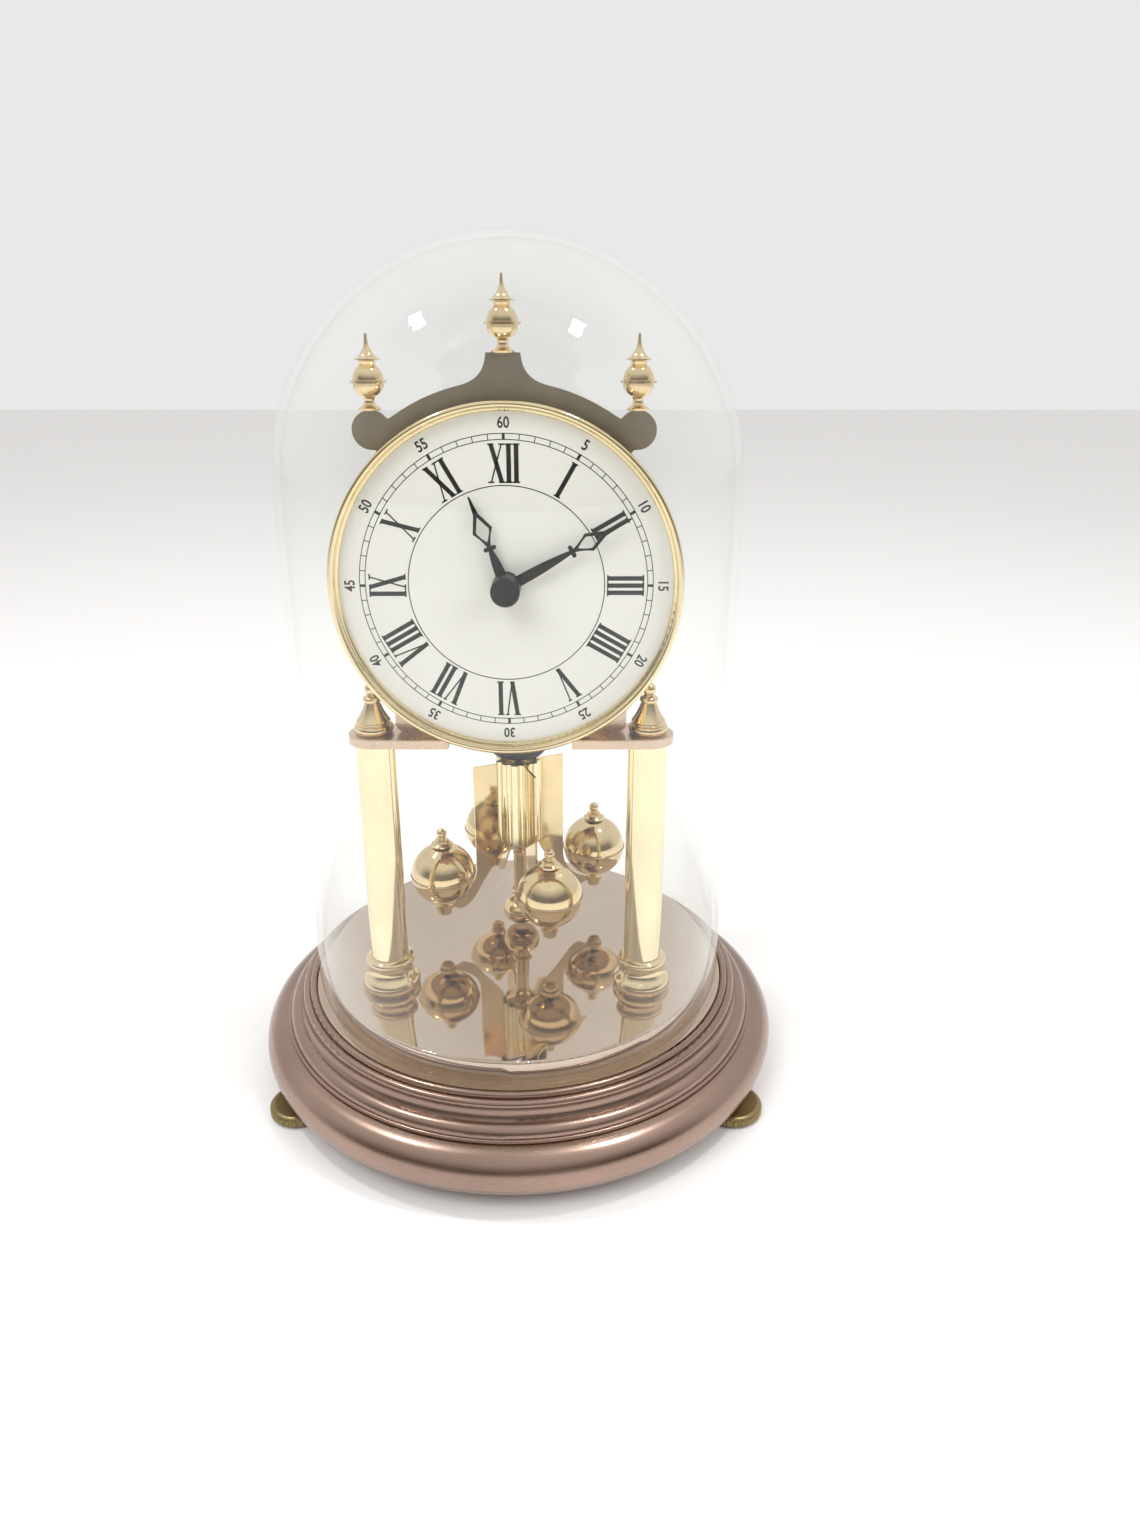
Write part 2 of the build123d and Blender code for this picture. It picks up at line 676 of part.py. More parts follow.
pivot_radius = 0.8
with BuildPart() as intermediate_wheel:
    with BuildSketch(front(wheel_back, z=arbor_z)):
        gear_face(wheel_teeth, cannon_module, 180 / wheel_teeth)
    extrude(amount=1.4)
    with BuildSketch(front(wheel_back, z=arbor_z)):
        gear_face(pinion_teeth, hour_module)
    extrude(amount=wheel_back - case_inside - apart)
    with BuildSketch(front(wheel_back, z=arbor_z)):
        Circle(setting_radius)
    extrude(amount=-(cover_back + knob_length - 1.0 - wheel_back))
    with BuildSketch(front(wheel_back, z=arbor_z)):
        Circle(pivot_radius)
    extrude(amount=wheel_back - case_inside + 1.2)
save(intermediate_wheel, "intermediate_wheel")

with BuildPart() as setting_knob:
    with BuildSketch(front(cover_back + 0.6, z=arbor_z)):
        Circle(knob_radius)
        with PolarLocations(knob_radius + 0.15, 24):
            Circle(0.45, mode=Mode.SUBTRACT)
    extrude(amount=-knob_length)
    with BuildSketch(front(cover_back + 0.6, z=arbor_z)):
        Circle(setting_radius + fit)
    extrude(amount=-(knob_length - 1.4), mode=Mode.SUBTRACT)
save(setting_knob, "setting_knob")

# ---------------------------------------------------------------- movement case
case_mid_z = (case_bottom + case_top) / 2
case_tall = case_top - case_bottom
pillars = [(sx * (case_half - case_wall - 3.2), case_mid_z + sz * (case_tall / 2 - case_wall - 3.2))
           for sx in (-1, 1) for sz in (-1, 1)]

with BuildPart() as movement_case:
    with BuildSketch(front(case_back, z=case_mid_z)):
        RectangleRounded(2 * case_half, case_tall, 3)
    extrude(amount=case_back - case_front)
    with BuildSketch(front(case_back, z=case_mid_z)):
        RectangleRounded(2 * (case_half - case_wall), case_tall - 2 * case_wall, 1.5)
    extrude(amount=case_back - case_inside, mode=Mode.SUBTRACT)
    with BuildSketch(front(train_plate_front, z=0)):
        with Locations(*pillars):
            Circle(3.0)
    extrude(amount=train_plate_front - case_inside)
    with BuildSketch(front(train_plate_front, z=0)):
        with Locations(*pillars):
            Circle(screw_radius + fit)
    extrude(amount=6, mode=Mode.SUBTRACT)
    with BuildSketch(front(case_inside)):
        with Locations(*crest_screw_places):
            Circle(screw_radius + apart)
    extrude(amount=case_wall, mode=Mode.SUBTRACT)
    with BuildSketch(front(case_inside)):
        Circle(bush_outer)
    extrude(amount=case_inside - dial_front + 0.9)
    with BuildSketch(front(case_inside)):
        Circle(pipe_radius + running)
    extrude(amount=case_inside - dial_front + 0.9, mode=Mode.SUBTRACT)
    with BuildSketch(front(case_inside, z=arbor_z)):
        Circle(pivot_radius + running)
    extrude(amount=1.4, mode=Mode.SUBTRACT)
save(movement_case, "movement_case")

board_back = train_back + 3.5
board_low, board_high = case_bottom + case_wall + 1.0, arbor_z - 6.0
board_mid = (board_low + board_high) / 2

with BuildPart() as train_plate:
    with BuildSketch(front(train_back, z=0)):
        with Locations((0, case_mid_z)):
            RectangleRounded(2 * (case_half - case_wall - 0.2), case_tall - 2 * (case_wall + 0.2), 1.5)
        with Locations((0, dial_z)):
            Circle(cannon_radius + running, mode=Mode.SUBTRACT)
        with Locations((0, arbor_z)):
            Circle(setting_radius + running, mode=Mode.SUBTRACT)
        with Locations(*pillars):
            Circle(screw_radius + fit, mode=Mode.SUBTRACT)
    extrude(amount=train_plate_metal)
    with BuildSketch(front(train_back, z=0)):
        with Locations((-19, board_mid), (19, board_mid)):
            Circle(2.2)
    extrude(amount=-(board_back - board_metal - train_back))
save(train_plate, "train_plate")

# Rear cover with the open battery tray
tray_left = -battery_length / 2 - 3.4
tray_right = battery_length / 2 + 1.4
tray_mid = (tray_left + tray_right) / 2
tray_wide = tray_right - tray_left
tray_half = battery_radius + apart
tray_back = battery_y + battery_radius * 1.3
corners = [(sx * (case_half - 3.4), case_mid_z + sz * (case_tall / 2 - 3.4))
           for sx in (-1, 1) for sz in (-1, 1)]

with BuildPart() as rear_cover:
    with BuildSketch(front(cover_back, z=0)):
        with Locations((0, case_mid_z)):
            RectangleRounded(2 * case_half, case_tall, 3)
        with Locations((0, arbor_z)):
            Circle(setting_radius + running, mode=Mode.SUBTRACT)
        with Locations(*corners):
            Circle(screw_radius + fit, mode=Mode.SUBTRACT)
    extrude(amount=cover_metal)
    with BuildSketch(front(tray_back, x=tray_mid, z=battery_z)):
        RectangleRounded(tray_wide + 2 * tray_wall, 2 * (tray_half + tray_wall), 2)
    extrude(amount=tray_back - cover_back)
    with BuildSketch(front(tray_back, x=tray_mid, z=battery_z)):
        Rectangle(tray_wide, 2 * tray_half)
        with Locations((0, tray_half), (0, -tray_half)):
            SlotOverall(20, 3 * tray_wall)
    extrude(amount=tray_back - (battery_y - tray_half), mode=Mode.SUBTRACT)
save(rear_cover, "rear_cover")

save(screws((rear(train_back), pillars), (rear(cover_back), corners)), "movement_screws")

with BuildPart() as battery:
    with BuildSketch(Plane.YZ.offset(-battery_length / 2)):
        with Locations((battery_y, battery_z)):
            Circle(battery_radius)
    extrude(amount=battery_length - 1.2)
    fillet(battery.edges().filter_by(GeomType.CIRCLE), 0.5)
    with BuildSketch(Plane.YZ.offset(battery_length / 2 - 1.4)):
        with Locations((battery_y, battery_z)):
            Circle(2.7)
    extrude(amount=1.4)
save(battery, "battery")

with BuildPart() as battery_contacts:
    with BuildSketch(Plane.YZ.offset(tray_left)):
        with Locations((battery_y, battery_z)):
            Rectangle(10, 11)
    extrude(amount=0.5)
    for turn_no, coil_radius in enumerate((4.2, 3.5, 2.8)):
        with Locations(Location((tray_left + 0.9 + 0.95 * turn_no, battery_y, battery_z), (0, 90, 0))):
            Torus(coil_radius, 0.48)
    with BuildSketch(Plane.YZ.offset(tray_right)):
        with Locations((battery_y, battery_z)):
            Rectangle(10, 11)
    extrude(amount=-0.5)
    with BuildSketch(Plane.YZ.offset(tray_right - 0.5)):
        with Locations((battery_y, battery_z)):
            Circle(2.0)
    extrude(amount=-0.6)
save(battery_contacts, "battery_contacts")

# Circuit board and the step motor's fixed parts
with BuildPart() as circuit_board:
    with BuildSketch(front(board_back, z=0)):
        with Locations((0, board_mid)):
            Rectangle(46, board_high - board_low)
    extrude(amount=board_metal)
    with BuildSketch(front(board_back, z=0)):
        with Locations((-13, board_low + 7)):
            RectangleRounded(7, 7, 1)
    extrude(amount=-1.4)
save(circuit_board, "circuit_board")

with BuildPart() as quartz_crystal:
    with BuildSketch(Plane.YZ.offset(6)):
        with Locations((board_back + 1.6, board_low + 5)):
            Circle(1.5)
    extrude(amount=8)
    fillet(quartz_crystal.faces().sort_by(Axis.X)[-1].edges(), 0.5)
save(quartz_crystal, "quartz_crystal")

stator_z = board_high - 9.0
with BuildPart() as motor_stator:
    with BuildSketch(front(board_back + 2.2, z=0)):
        with Locations((0, stator_z)):
            RectangleRounded(32, 15, 2)
            with Locations((0, 1.5)):
                Rectangle(24, 4, mode=Mode.SUBTRACT)
            with Locations((0, -4)):
                Circle(2.2, mode=Mode.SUBTRACT)
    extrude(amount=2.2)
save(motor_stator, "motor_stator")

with BuildPart() as motor_coil:
    with BuildSketch(Plane.YZ.offset(-9)):
        with Locations((board_back + 1.1 + 1.3, stator_z + 5.5)):
            RectangleRounded(4.8, 6.6, 1)
    extrude(amount=18)
    with BuildSketch(Plane.YZ.offset(-9)):
        with Locations((board_back + 1.1, stator_z + 5.5)):
            Rectangle(2.2 + 2 * fit, 4.0 + 2 * fit)
    extrude(amount=18, mode=Mode.SUBTRACT)
save(motor_coil, "motor_coil")

# ---------------------------------------------------------------- pendulum drive
boss_top = platform_top + 1.4
shoulder_z = boss_bottom + 12.6


def boss_outline():
    """Flanged cup that hangs through the platform, with a shoulder for the coil spool."""
    inner, bore = boss_radius - boss_wall, spindle_radius + running
    Polyline((bore, boss_bottom), (boss_radius - 1, boss_bottom), (boss_radius, boss_bottom + 1),
             (boss_radius, platform_top), (boss_radius + 3, platform_top), (boss_radius + 3, boss_top),
             (inner, boss_top), (inner, shoulder_z), (inner - 1, shoulder_z),
             (inner - 1, boss_bottom + boss_floor), (bore, boss_bottom + boss_floor), (bore, boss_bottom))


save(turned([(0, pendulum_y)], boss_outline), "drive_boss")


def spool_outline():
    """Bobbin of the drive coil."""
    outer, low, high = boss_radius - boss_wall - fit, shoulder_z, shoulder_z + 9
    Polyline((2.0, low), (outer, low), (outer, low + 0.8), (3.0, low + 0.8), (3.0, high - 0.8),
             (outer, high - 0.8), (outer, high), (2.0, high), (2.0, low))


save(turned([(0, pendulum_y)], spool_outline), "coil_spool")

with BuildPart() as drive_coil:
    with BuildSketch(Plane.XY.offset(shoulder_z + 0.8 + fit)):
        with Locations((0, pendulum_y)):
            Circle(boss_radius - boss_wall - 0.9)
            Circle(3.0 + fit, mode=Mode.SUBTRACT)
    extrude(amount=7.4 - 2 * fit)
save(drive_coil, "drive_coil")

magnet_top = shoulder_z - 1.5
with BuildPart() as drive_magnet:
    with BuildSketch(Plane.XY.offset(magnet_top)):
        with Locations((0, pendulum_y)):
            Circle(boss_radius - boss_wall - 2.0)
            Circle(spindle_radius + fit, mode=Mode.SUBTRACT)
    extrude(amount=-4.0)
save(drive_magnet, "drive_magnet")

web_top = fluted_top - 6.0
web_bottom = web_top - 5.0
with BuildPart() as pendulum_spindle:
    with BuildSketch(Plane.XY.offset(web_bottom)):
        with Locations((0, pendulum_y)):
            Circle(spindle_radius)
    extrude(amount=magnet_top + 1.0 - web_bottom)
save(pendulum_spindle, "pendulum_spindle")

# ---------------------------------------------------------------- pendulum
arm_angles = [-90 + arm_start + 360 / arm_count * n for n in range(arm_count)]
tab_z = ball_z - ball_radius - arm_gap
slot_inner = fluted_bore + 0.5


def pendulum_plane(angle):
    """Upright plane through the pendulum's axis: local x runs outwards, local y up."""
    a = radians(angle)
    return Plane(origin=(0, pendulum_y, 0), x_dir=(cos(a), sin(a), 0), z_dir=(sin(a), -cos(a), 0))


with BuildPart() as fluted_column:
    with BuildSketch(Plane.XY.offset(fluted_bottom)):
        with Locations((0, pendulum_y)):
            Circle(fluted_radius)
            Circle(fluted_bore, mode=Mode.SUBTRACT)
            with PolarLocations(fluted_radius + 0.35, flutes, arm_angles[0] + 180 / flutes):
                Circle(1.25, mode=Mode.SUBTRACT)
            with PolarLocations((fluted_radius + slot_inner) / 2, arm_count, arm_angles[0]):
                Rectangle(fluted_radius - slot_inner + 0.01, arm_metal + 2 * fit, mode=Mode.SUBTRACT)
    extrude(amount=fluted_top - fluted_bottom)
    with BuildSketch(Plane.XY.offset(web_bottom)):
        with Locations((0, pendulum_y)):
            Circle(fluted_bore + 0.1)
            Circle(spindle_radius + fit, mode=Mode.SUBTRACT)
    extrude(amount=web_top - web_bottom)
save(fluted_column, "fluted_column")

with BuildPart() as pendulum_stem:
    with BuildSketch(side(0, pendulum_y)):
        with BuildLine():
            plug, low = fluted_bore - fit, knob_bottom + bob_height
            Polyline((0, fluted_bottom + 4), (plug, fluted_bottom + 4), (plug, fluted_bottom),
                     (slot_inner - apart, fluted_bottom), (slot_inner - apart, fluted_bottom - 1.4))
            ThreePointArc((slot_inner - apart, fluted_bottom - 1.4), (4.2, fluted_bottom - 3.2),
                          (stem_radius, fluted_bottom - 7.5))
            Polyline((stem_radius, fluted_bottom - 7.5), (stem_radius, low + 4.0))
            ThreePointArc((stem_radius, low + 4.0), (stem_radius + 1.2, low + 3.0), (stem_radius, low + 2.0))
            Polyline((stem_radius, low + 2.0), (stem_radius, low), (0, low), (0, fluted_bottom + 4))
        make_face()
    revolve(axis=Axis((0, pendulum_y, 0), (0, 0, 1)))
save(pendulum_stem, "pendulum_stem")


def bob_outline():
    """Round bob at the foot of the stem."""
    low, high = knob_bottom, knob_bottom + bob_height
    Line((0, low), (2.0, low))
    ThreePointArc((2.0, low), (bob_radius, (low + high) / 2 - 0.3), (2.9, high - 0.8))
    Polyline((2.9, high - 0.8), (2.9, high), (0, high), (0, low))


save(turned([(0, pendulum_y)], bob_outline), "pendulum_bob")

for arm_no, arm_angle in enumerate(arm_angles, start=1):
    with BuildPart() as pendulum_arm:
        with BuildSketch(pendulum_plane(arm_angle)):
            with BuildLine():
                near = ball_radius + arm_gap
                far = near + arm_width
                Polyline((ball_circle - near, ball_z), (ball_circle - near, fluted_top - 1.0),
                         (slot_inner, fluted_top - 1.0), (slot_inner, fluted_bottom + 1.0))
                Spline((slot_inner, fluted_bottom + 1.0), (ball_circle - far + 2.2, ball_z - 6.5),
                       (ball_circle - 6.4, tab_z - 3.2), tangents=[(0, -1), (1, -0.25)])
                Polyline((ball_circle - 6.4, tab_z - 3.2), (ball_circle - 3.0, tab_z - tab_metal),
                         (ball_circle, tab_z - tab_metal), (ball_circle, tab_z))
                ThreePointArc((ball_circle, tab_z), (ball_circle - near * sqrt(0.5), ball_z - near * sqrt(0.5)),
                              (ball_circle - near, ball_z))
            make_face()
        extrude(amount=arm_metal / 2, both=True)
        x, y = polar(ball_circle, arm_angle, pendulum_y)
        with BuildSketch(Plane.XY.offset(tab_z)):
            with Locations((x, y)):
                Circle(3.2)
        extrude(amount=-tab_metal)
        with BuildSketch(Plane.XY.offset(tab_z + arm_gap)):
            with Locations((x, y)):
                Circle(ball_rod + fit)
        extrude(amount=-2 * arm_width, mode=Mode.SUBTRACT)
    save(pendulum_arm, f"pendulum_arm_{arm_no}")

    with BuildPart() as ball:
        with BuildSketch(side(x, y)):
            with BuildLine():
                CenterArc((0, ball_z), ball_radius, -90, 180)
                CenterArc((0, ball_z), ball_radius - ball_wall, -90, 180)
                Line((0, ball_z - ball_radius), (0, ball_z - ball_radius + ball_wall))
                Line((0, ball_z + ball_radius), (0, ball_z + ball_radius - ball_wall))
            make_face()
            with Locations((ball_radius - 0.1, ball_z)):
                Rectangle(0.5, 0.5)
        revolve(axis=Axis((x, y, 0), (0, 0, 1)))
        with Locations((x, y, ball_z)):
            Cylinder(ball_rod + fit, 2 * ball_radius + 2, mode=Mode.SUBTRACT)
    save(ball, f"ball_{arm_no}")

ball_places = [polar(ball_circle, a, pendulum_y) for a in arm_angles]
ball_top, nut_top = ball_z + ball_radius, tab_z - tab_metal


def ball_finial_outline():
    """Rod through the ball, stepped cone and button."""
    button, neck = 1.9, 1.1
    middle = ball_top + 6.6 - button
    dip = middle - sqrt(button ** 2 - neck ** 2)
    Polyline((0, nut_top - 1.8), (ball_rod, nut_top - 1.8), (ball_rod, ball_top + 0.1),
             (4.0, ball_top + 0.1), (4.0, ball_top + 0.7), (2.9, ball_top + 1.5),
             (2.4, ball_top + 2.4), (1.3, ball_top + 2.8), (neck, dip))
    ThreePointArc((neck, dip), (button, middle), (0, middle + button))
    Line((0, middle + button), (0, nut_top - 1.8))


save(turned(ball_places, ball_finial_outline), "ball_finials")

with BuildPart() as ball_nuts:
    with BuildSketch(Plane.XY.offset(nut_top)):
        with Locations(*ball_places):
            Circle(2.6)
            Circle(ball_rod + fit, mode=Mode.SUBTRACT)
    extrude(amount=-2.4)
    chamfer(ball_nuts.faces().sort_by(Axis.Z)[:4].edges().sort_by(SortBy.LENGTH)[-4:], 0.6)
save(ball_nuts, "ball_nuts")

# ---------------------------------------------------------------- glass dome
dome_low = seat_z + seat_gap
dome_spring = dome_low + dome_height - dome_radius
with BuildPart() as glass_dome:
    with BuildSketch(Plane.XZ):
        with BuildLine():
            inner = dome_radius - glass
            Line((dome_radius, dome_low), (dome_radius, dome_spring))
            CenterArc((0, dome_spring), dome_radius, 0, 90)
            Line((0, dome_spring + dome_radius), (0, dome_spring + inner))
            CenterArc((0, dome_spring), inner, 0, 90)
            Line((inner, dome_spring), (inner, dome_low))
            Line((inner, dome_low), (dome_radius, dome_low))
        make_face()
    revolve(axis=Axis.Z)
    fillet(glass_dome.faces().sort_by(Axis.Z)[0].edges(), lip_round)
save(glass_dome, "glass_dome")
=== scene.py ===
import json
import math

import bmesh
import bpy
from mathutils import Matrix, Vector
from mathutils.geometry import interpolate_bezier


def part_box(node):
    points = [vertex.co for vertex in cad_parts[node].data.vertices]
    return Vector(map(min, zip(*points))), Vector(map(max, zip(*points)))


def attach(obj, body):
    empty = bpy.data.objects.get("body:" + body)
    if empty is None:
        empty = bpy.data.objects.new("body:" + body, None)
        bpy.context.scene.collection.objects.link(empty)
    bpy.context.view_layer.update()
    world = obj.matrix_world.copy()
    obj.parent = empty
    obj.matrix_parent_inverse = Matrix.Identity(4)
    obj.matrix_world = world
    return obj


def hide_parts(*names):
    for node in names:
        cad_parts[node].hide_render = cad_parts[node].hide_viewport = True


bl_info = {
    "name": "Anniversary clock",
    "version": (1, 0, 0),
    "blender": (4, 5, 0),
    "location": "View3D > Sidebar > Clock",
    "description": "Metalwork, glass, dial print and pendulum of a glass-domed anniversary clock",
    "category": "Object",
}

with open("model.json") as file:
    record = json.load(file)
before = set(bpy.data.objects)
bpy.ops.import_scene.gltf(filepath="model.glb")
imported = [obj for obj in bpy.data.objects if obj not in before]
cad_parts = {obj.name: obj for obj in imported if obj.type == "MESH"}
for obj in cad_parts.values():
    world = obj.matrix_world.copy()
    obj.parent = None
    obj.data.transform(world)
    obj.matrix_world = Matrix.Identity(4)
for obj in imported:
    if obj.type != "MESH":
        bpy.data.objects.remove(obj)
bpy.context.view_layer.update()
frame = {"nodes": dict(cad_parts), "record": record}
MM = 0.001
DIAL_LOW, DIAL_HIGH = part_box("dial")
DIAL_Z = (DIAL_LOW.z + DIAL_HIGH.z) / 2
DIAL_FACE = DIAL_LOW.y


# ---------------------------------------------------------------- sizes and colours
class ClockDialSizes(bpy.types.PropertyGroup):
    """Sizes of what is printed on the dial."""

    circle_radius: bpy.props.FloatProperty(
        name="Inner Circle", description="Radius of the thin circle round the hands",
        default=29.7 * MM, unit="LENGTH")
    track_inner: bpy.props.FloatProperty(
        name="Track Inside", description="Radius of the minute track's inner line",
        default=42.7 * MM, unit="LENGTH")
    track_outer: bpy.props.FloatProperty(
        name="Track Outside", description="Radius of the minute track's outer line",
        default=44.4 * MM, unit="LENGTH")
    numeral_foot: bpy.props.FloatProperty(
        name="Numeral Foot", description="Radius at the feet of the hour numerals",
        default=30.4 * MM, unit="LENGTH")
    numeral_height: bpy.props.FloatProperty(
        name="Numeral Height", description="Height of the hour numerals",
        default=11.2 * MM, unit="LENGTH")
    number_radius: bpy.props.FloatProperty(
        name="Number Radius", description="Radius at the middle of the minute numbers",
        default=47.3 * MM, unit="LENGTH")
    number_height: bpy.props.FloatProperty(
        name="Number Size", description="Type size of the minute numbers",
        default=4.4 * MM, unit="LENGTH")
    ink: bpy.props.FloatProperty(
        name="Ink", description="How far the print stands up from the dial",
        default=0.05 * MM, unit="LENGTH")


class ClockCrestSizes(bpy.types.PropertyGroup):
    """Sizes of the crest plate behind the dial."""

    crest_arc: bpy.props.FloatProperty(
        name="Arc", description="Radius of the arc between the pedestal and the lobes",
        default=58.5 * MM, unit="LENGTH")
    crest_disc: bpy.props.FloatProperty(
        name="Disc", description="Radius of the disc behind the dial", default=53.0 * MM, unit="LENGTH")
    lobe_radius: bpy.props.FloatProperty(
        name="Lobe", description="Radius of the round lobes", default=5.6 * MM, unit="LENGTH")
    lobe_out: bpy.props.FloatProperty(
        name="Lobe Out", description="How far the lobes stand out from the middle",
        default=39.0 * MM, unit="LENGTH")
    lobe_rise: bpy.props.FloatProperty(
        name="Lobe Rise", description="Height of the lobes above the dial's centre",
        default=44.7 * MM, unit="LENGTH")
    pedestal_half: bpy.props.FloatProperty(
        name="Pedestal", description="Half the width of the pedestal's top",
        default=5.0 * MM, unit="LENGTH")
    flare_end: bpy.props.FloatProperty(
        name="Flare End", description="How far out the pedestal's flare joins the arc",
        default=13.5 * MM, unit="LENGTH")
    flare_pull: bpy.props.FloatProperty(
        name="Flare Pull", description="How long the flare keeps each end's direction",
        default=5.5 * MM, unit="LENGTH")


class ClockColours(bpy.types.PropertyGroup):
    """Colours of the clock's finishes."""

    brass: bpy.props.FloatVectorProperty(
        name="Brass", description="Polished brass", default=(0.84, 0.66, 0.38),
        size=3, min=0, max=1, subtype="COLOR")
    pale_brass: bpy.props.FloatVectorProperty(
        name="Pale Brass", description="Lacquered brass of the columns", default=(0.94, 0.84, 0.55),
        size=3, min=0, max=1, subtype="COLOR")
    bronze: bpy.props.FloatVectorProperty(
        name="Base Bronze", description="Satin plate of the base moulding", default=(0.37, 0.255, 0.205),
        size=3, min=0, max=1, subtype="COLOR")
    olive: bpy.props.FloatVectorProperty(
        name="Olive Brass", description="Aged brass of the feet and the crest", default=(0.34, 0.27, 0.13),
        size=3, min=0, max=1, subtype="COLOR")
    dial: bpy.props.FloatVectorProperty(
        name="Dial White", description="Paint of the dial", default=(0.86, 0.85, 0.80),
        size=3, min=0, max=1, subtype="COLOR")


class ClockStageSizes(bpy.types.PropertyGroup):
    """Place, tilt and lens of the camera, and the size of the floor."""

    camera_place: bpy.props.FloatVectorProperty(
        name="Camera", description="Where the camera stands", default=(0.0192, -0.361, 0.2644),
        size=3, subtype="XYZ", unit="LENGTH")
    camera_tilt: bpy.props.FloatProperty(
        name="Tilt", description="Turn of the camera about X from straight down",
        default=math.radians(67.81), subtype="ANGLE")
    lens: bpy.props.FloatProperty(
        name="Lens", description="Focal length in millimetres on a 36 mm frame", default=26.0, min=1)
    floor_half: bpy.props.FloatProperty(
        name="Floor", description="Half the side of the floor", default=3.0, unit="LENGTH")


# ---------------------------------------------------------------- materials
def colour(rgb, share=1.0):
    """A colour socket's four numbers, darkened to a share."""
    return tuple(c * share for c in rgb) + (1.0,)


def shader(name):
    """A new material with its node tree and its Principled shader."""
    material = bpy.data.materials.new(name)
    material.use_nodes = True
    return material, material.node_tree, material.node_tree.nodes["Principled BSDF"]


def pattern(tree, kind, scale, stretch=(1, 1, 1), **values):
    """A texture node on Object coordinates, with its sockets set."""
    place = tree.nodes.new("ShaderNodeTexCoord")
    mapping = tree.nodes.new("ShaderNodeMapping")
    mapping.inputs["Scale"].default_value = stretch
    texture = tree.nodes.new(kind)
    texture.inputs["Scale"].default_value = scale
    for socket, value in values.items():
        texture.inputs[socket].default_value = value
    tree.links.new(place.outputs["Object"], mapping.inputs["Vector"])
    tree.links.new(mapping.outputs["Vector"], texture.inputs["Vector"])
    return texture


def spread(tree, source, low, high, start=0.3, end=0.7):
    """A number from low to high as the source runs from start to end."""
    node = tree.nodes.new("ShaderNodeMapRange")
    ends = {"From Min": start, "From Max": end, "To Min": low, "To Max": high}
    for socket, value in ends.items():
        node.inputs[socket].default_value = value
    tree.links.new(source, node.inputs["Value"])
    return node.outputs["Result"]


def blended(tree, source, first, second, start=0.3, end=0.7):
    """A colour between two as the source runs from start to end."""
    node = tree.nodes.new("ShaderNodeMix")
    node.data_type = "RGBA"
    node.inputs["A"].default_value = first
    node.inputs["B"].default_value = second
    tree.links.new(spread(tree, source, 0, 1, start, end), node.inputs["Factor"])
    return node.outputs["Result"]


def bumped(tree, surface, source, depth, strength=0.5):
    """Bump of a depth in metres from a source."""
    bump = tree.nodes.new("ShaderNodeBump")
    bump.inputs["Distance"].default_value = depth
    bump.inputs["Strength"].default_value = strength
    tree.links.new(source, bump.inputs["Height"])
    tree.links.new(bump.outputs["Normal"], surface.inputs["Normal"])


def metal(name, rgb, shade=0.82, rough=(0.06, 0.16), patch=60, grain=(1, 1, 1), depth=0.02 * MM, coat=0.0):
    """Metal with cloudy tone, uneven polish and a fine grain stretched along the brushing."""
    material, tree, surface = shader(name)
    cloud = pattern(tree, "ShaderNodeTexNoise", patch, Detail=4.0)
    fine = pattern(tree, "ShaderNodeTexNoise", 900, grain, Detail=3.0)
    surface.inputs["Metallic"].default_value = 1.0
    surface.inputs["Coat Weight"].default_value = coat
    tree.links.new(blended(tree, cloud.outputs["Fac"], colour(rgb, shade), colour(rgb)),
                   surface.inputs["Base Color"])
    tree.links.new(spread(tree, fine.outputs["Fac"], *rough), surface.inputs["Roughness"])
    bumped(tree, surface, fine.outputs["Fac"], depth, 0.25)
    return material


def paint(name, rgb, shade=0.85, rough=(0.35, 0.5), patch=80, grain=500, depth=0.05 * MM, gloss=0.5):
    """Paint or plastic with a faint mottle and a fine skin."""
    material, tree, surface = shader(name)
    cloud = pattern(tree, "ShaderNodeTexNoise", patch, Detail=3.0)
    fine = pattern(tree, "ShaderNodeTexNoise", grain, Detail=4.0)
    surface.inputs["Specular IOR Level"].default_value = gloss
    tree.links.new(blended(tree, cloud.outputs["Fac"], colour(rgb, shade), colour(rgb)),
                   surface.inputs["Base Color"])
    tree.links.new(spread(tree, fine.outputs["Fac"], *rough), surface.inputs["Roughness"])
    bumped(tree, surface, fine.outputs["Fac"], depth, 0.3)
    return material


def base_bronze(rgb):
    """Satin bronze plate with turning lines round the moulding and a patchy tone."""
    material, tree, surface = shader("base_bronze")
    cloud = pattern(tree, "ShaderNodeTexNoise", 14, (1, 1, 3), Detail=5.0)
    lines = pattern(tree, "ShaderNodeTexNoise", 30, (1, 1, 60), Detail=3.0)
    surface.inputs["Metallic"].default_value = 1.0
    tree.links.new(blended(tree, cloud.outputs["Fac"], colour(rgb, 0.78), colour(rgb, 1.12)),
                   surface.inputs["Base Color"])
    surface.inputs["Coat Weight"].default_value = 0.25
    surface.inputs["Coat Roughness"].default_value = 0.12
    tree.links.new(spread(tree, lines.outputs["Fac"], 0.22, 0.33), surface.inputs["Roughness"])
    bumped(tree, surface, lines.outputs["Fac"], 0.008 * MM, 0.25)
    return material


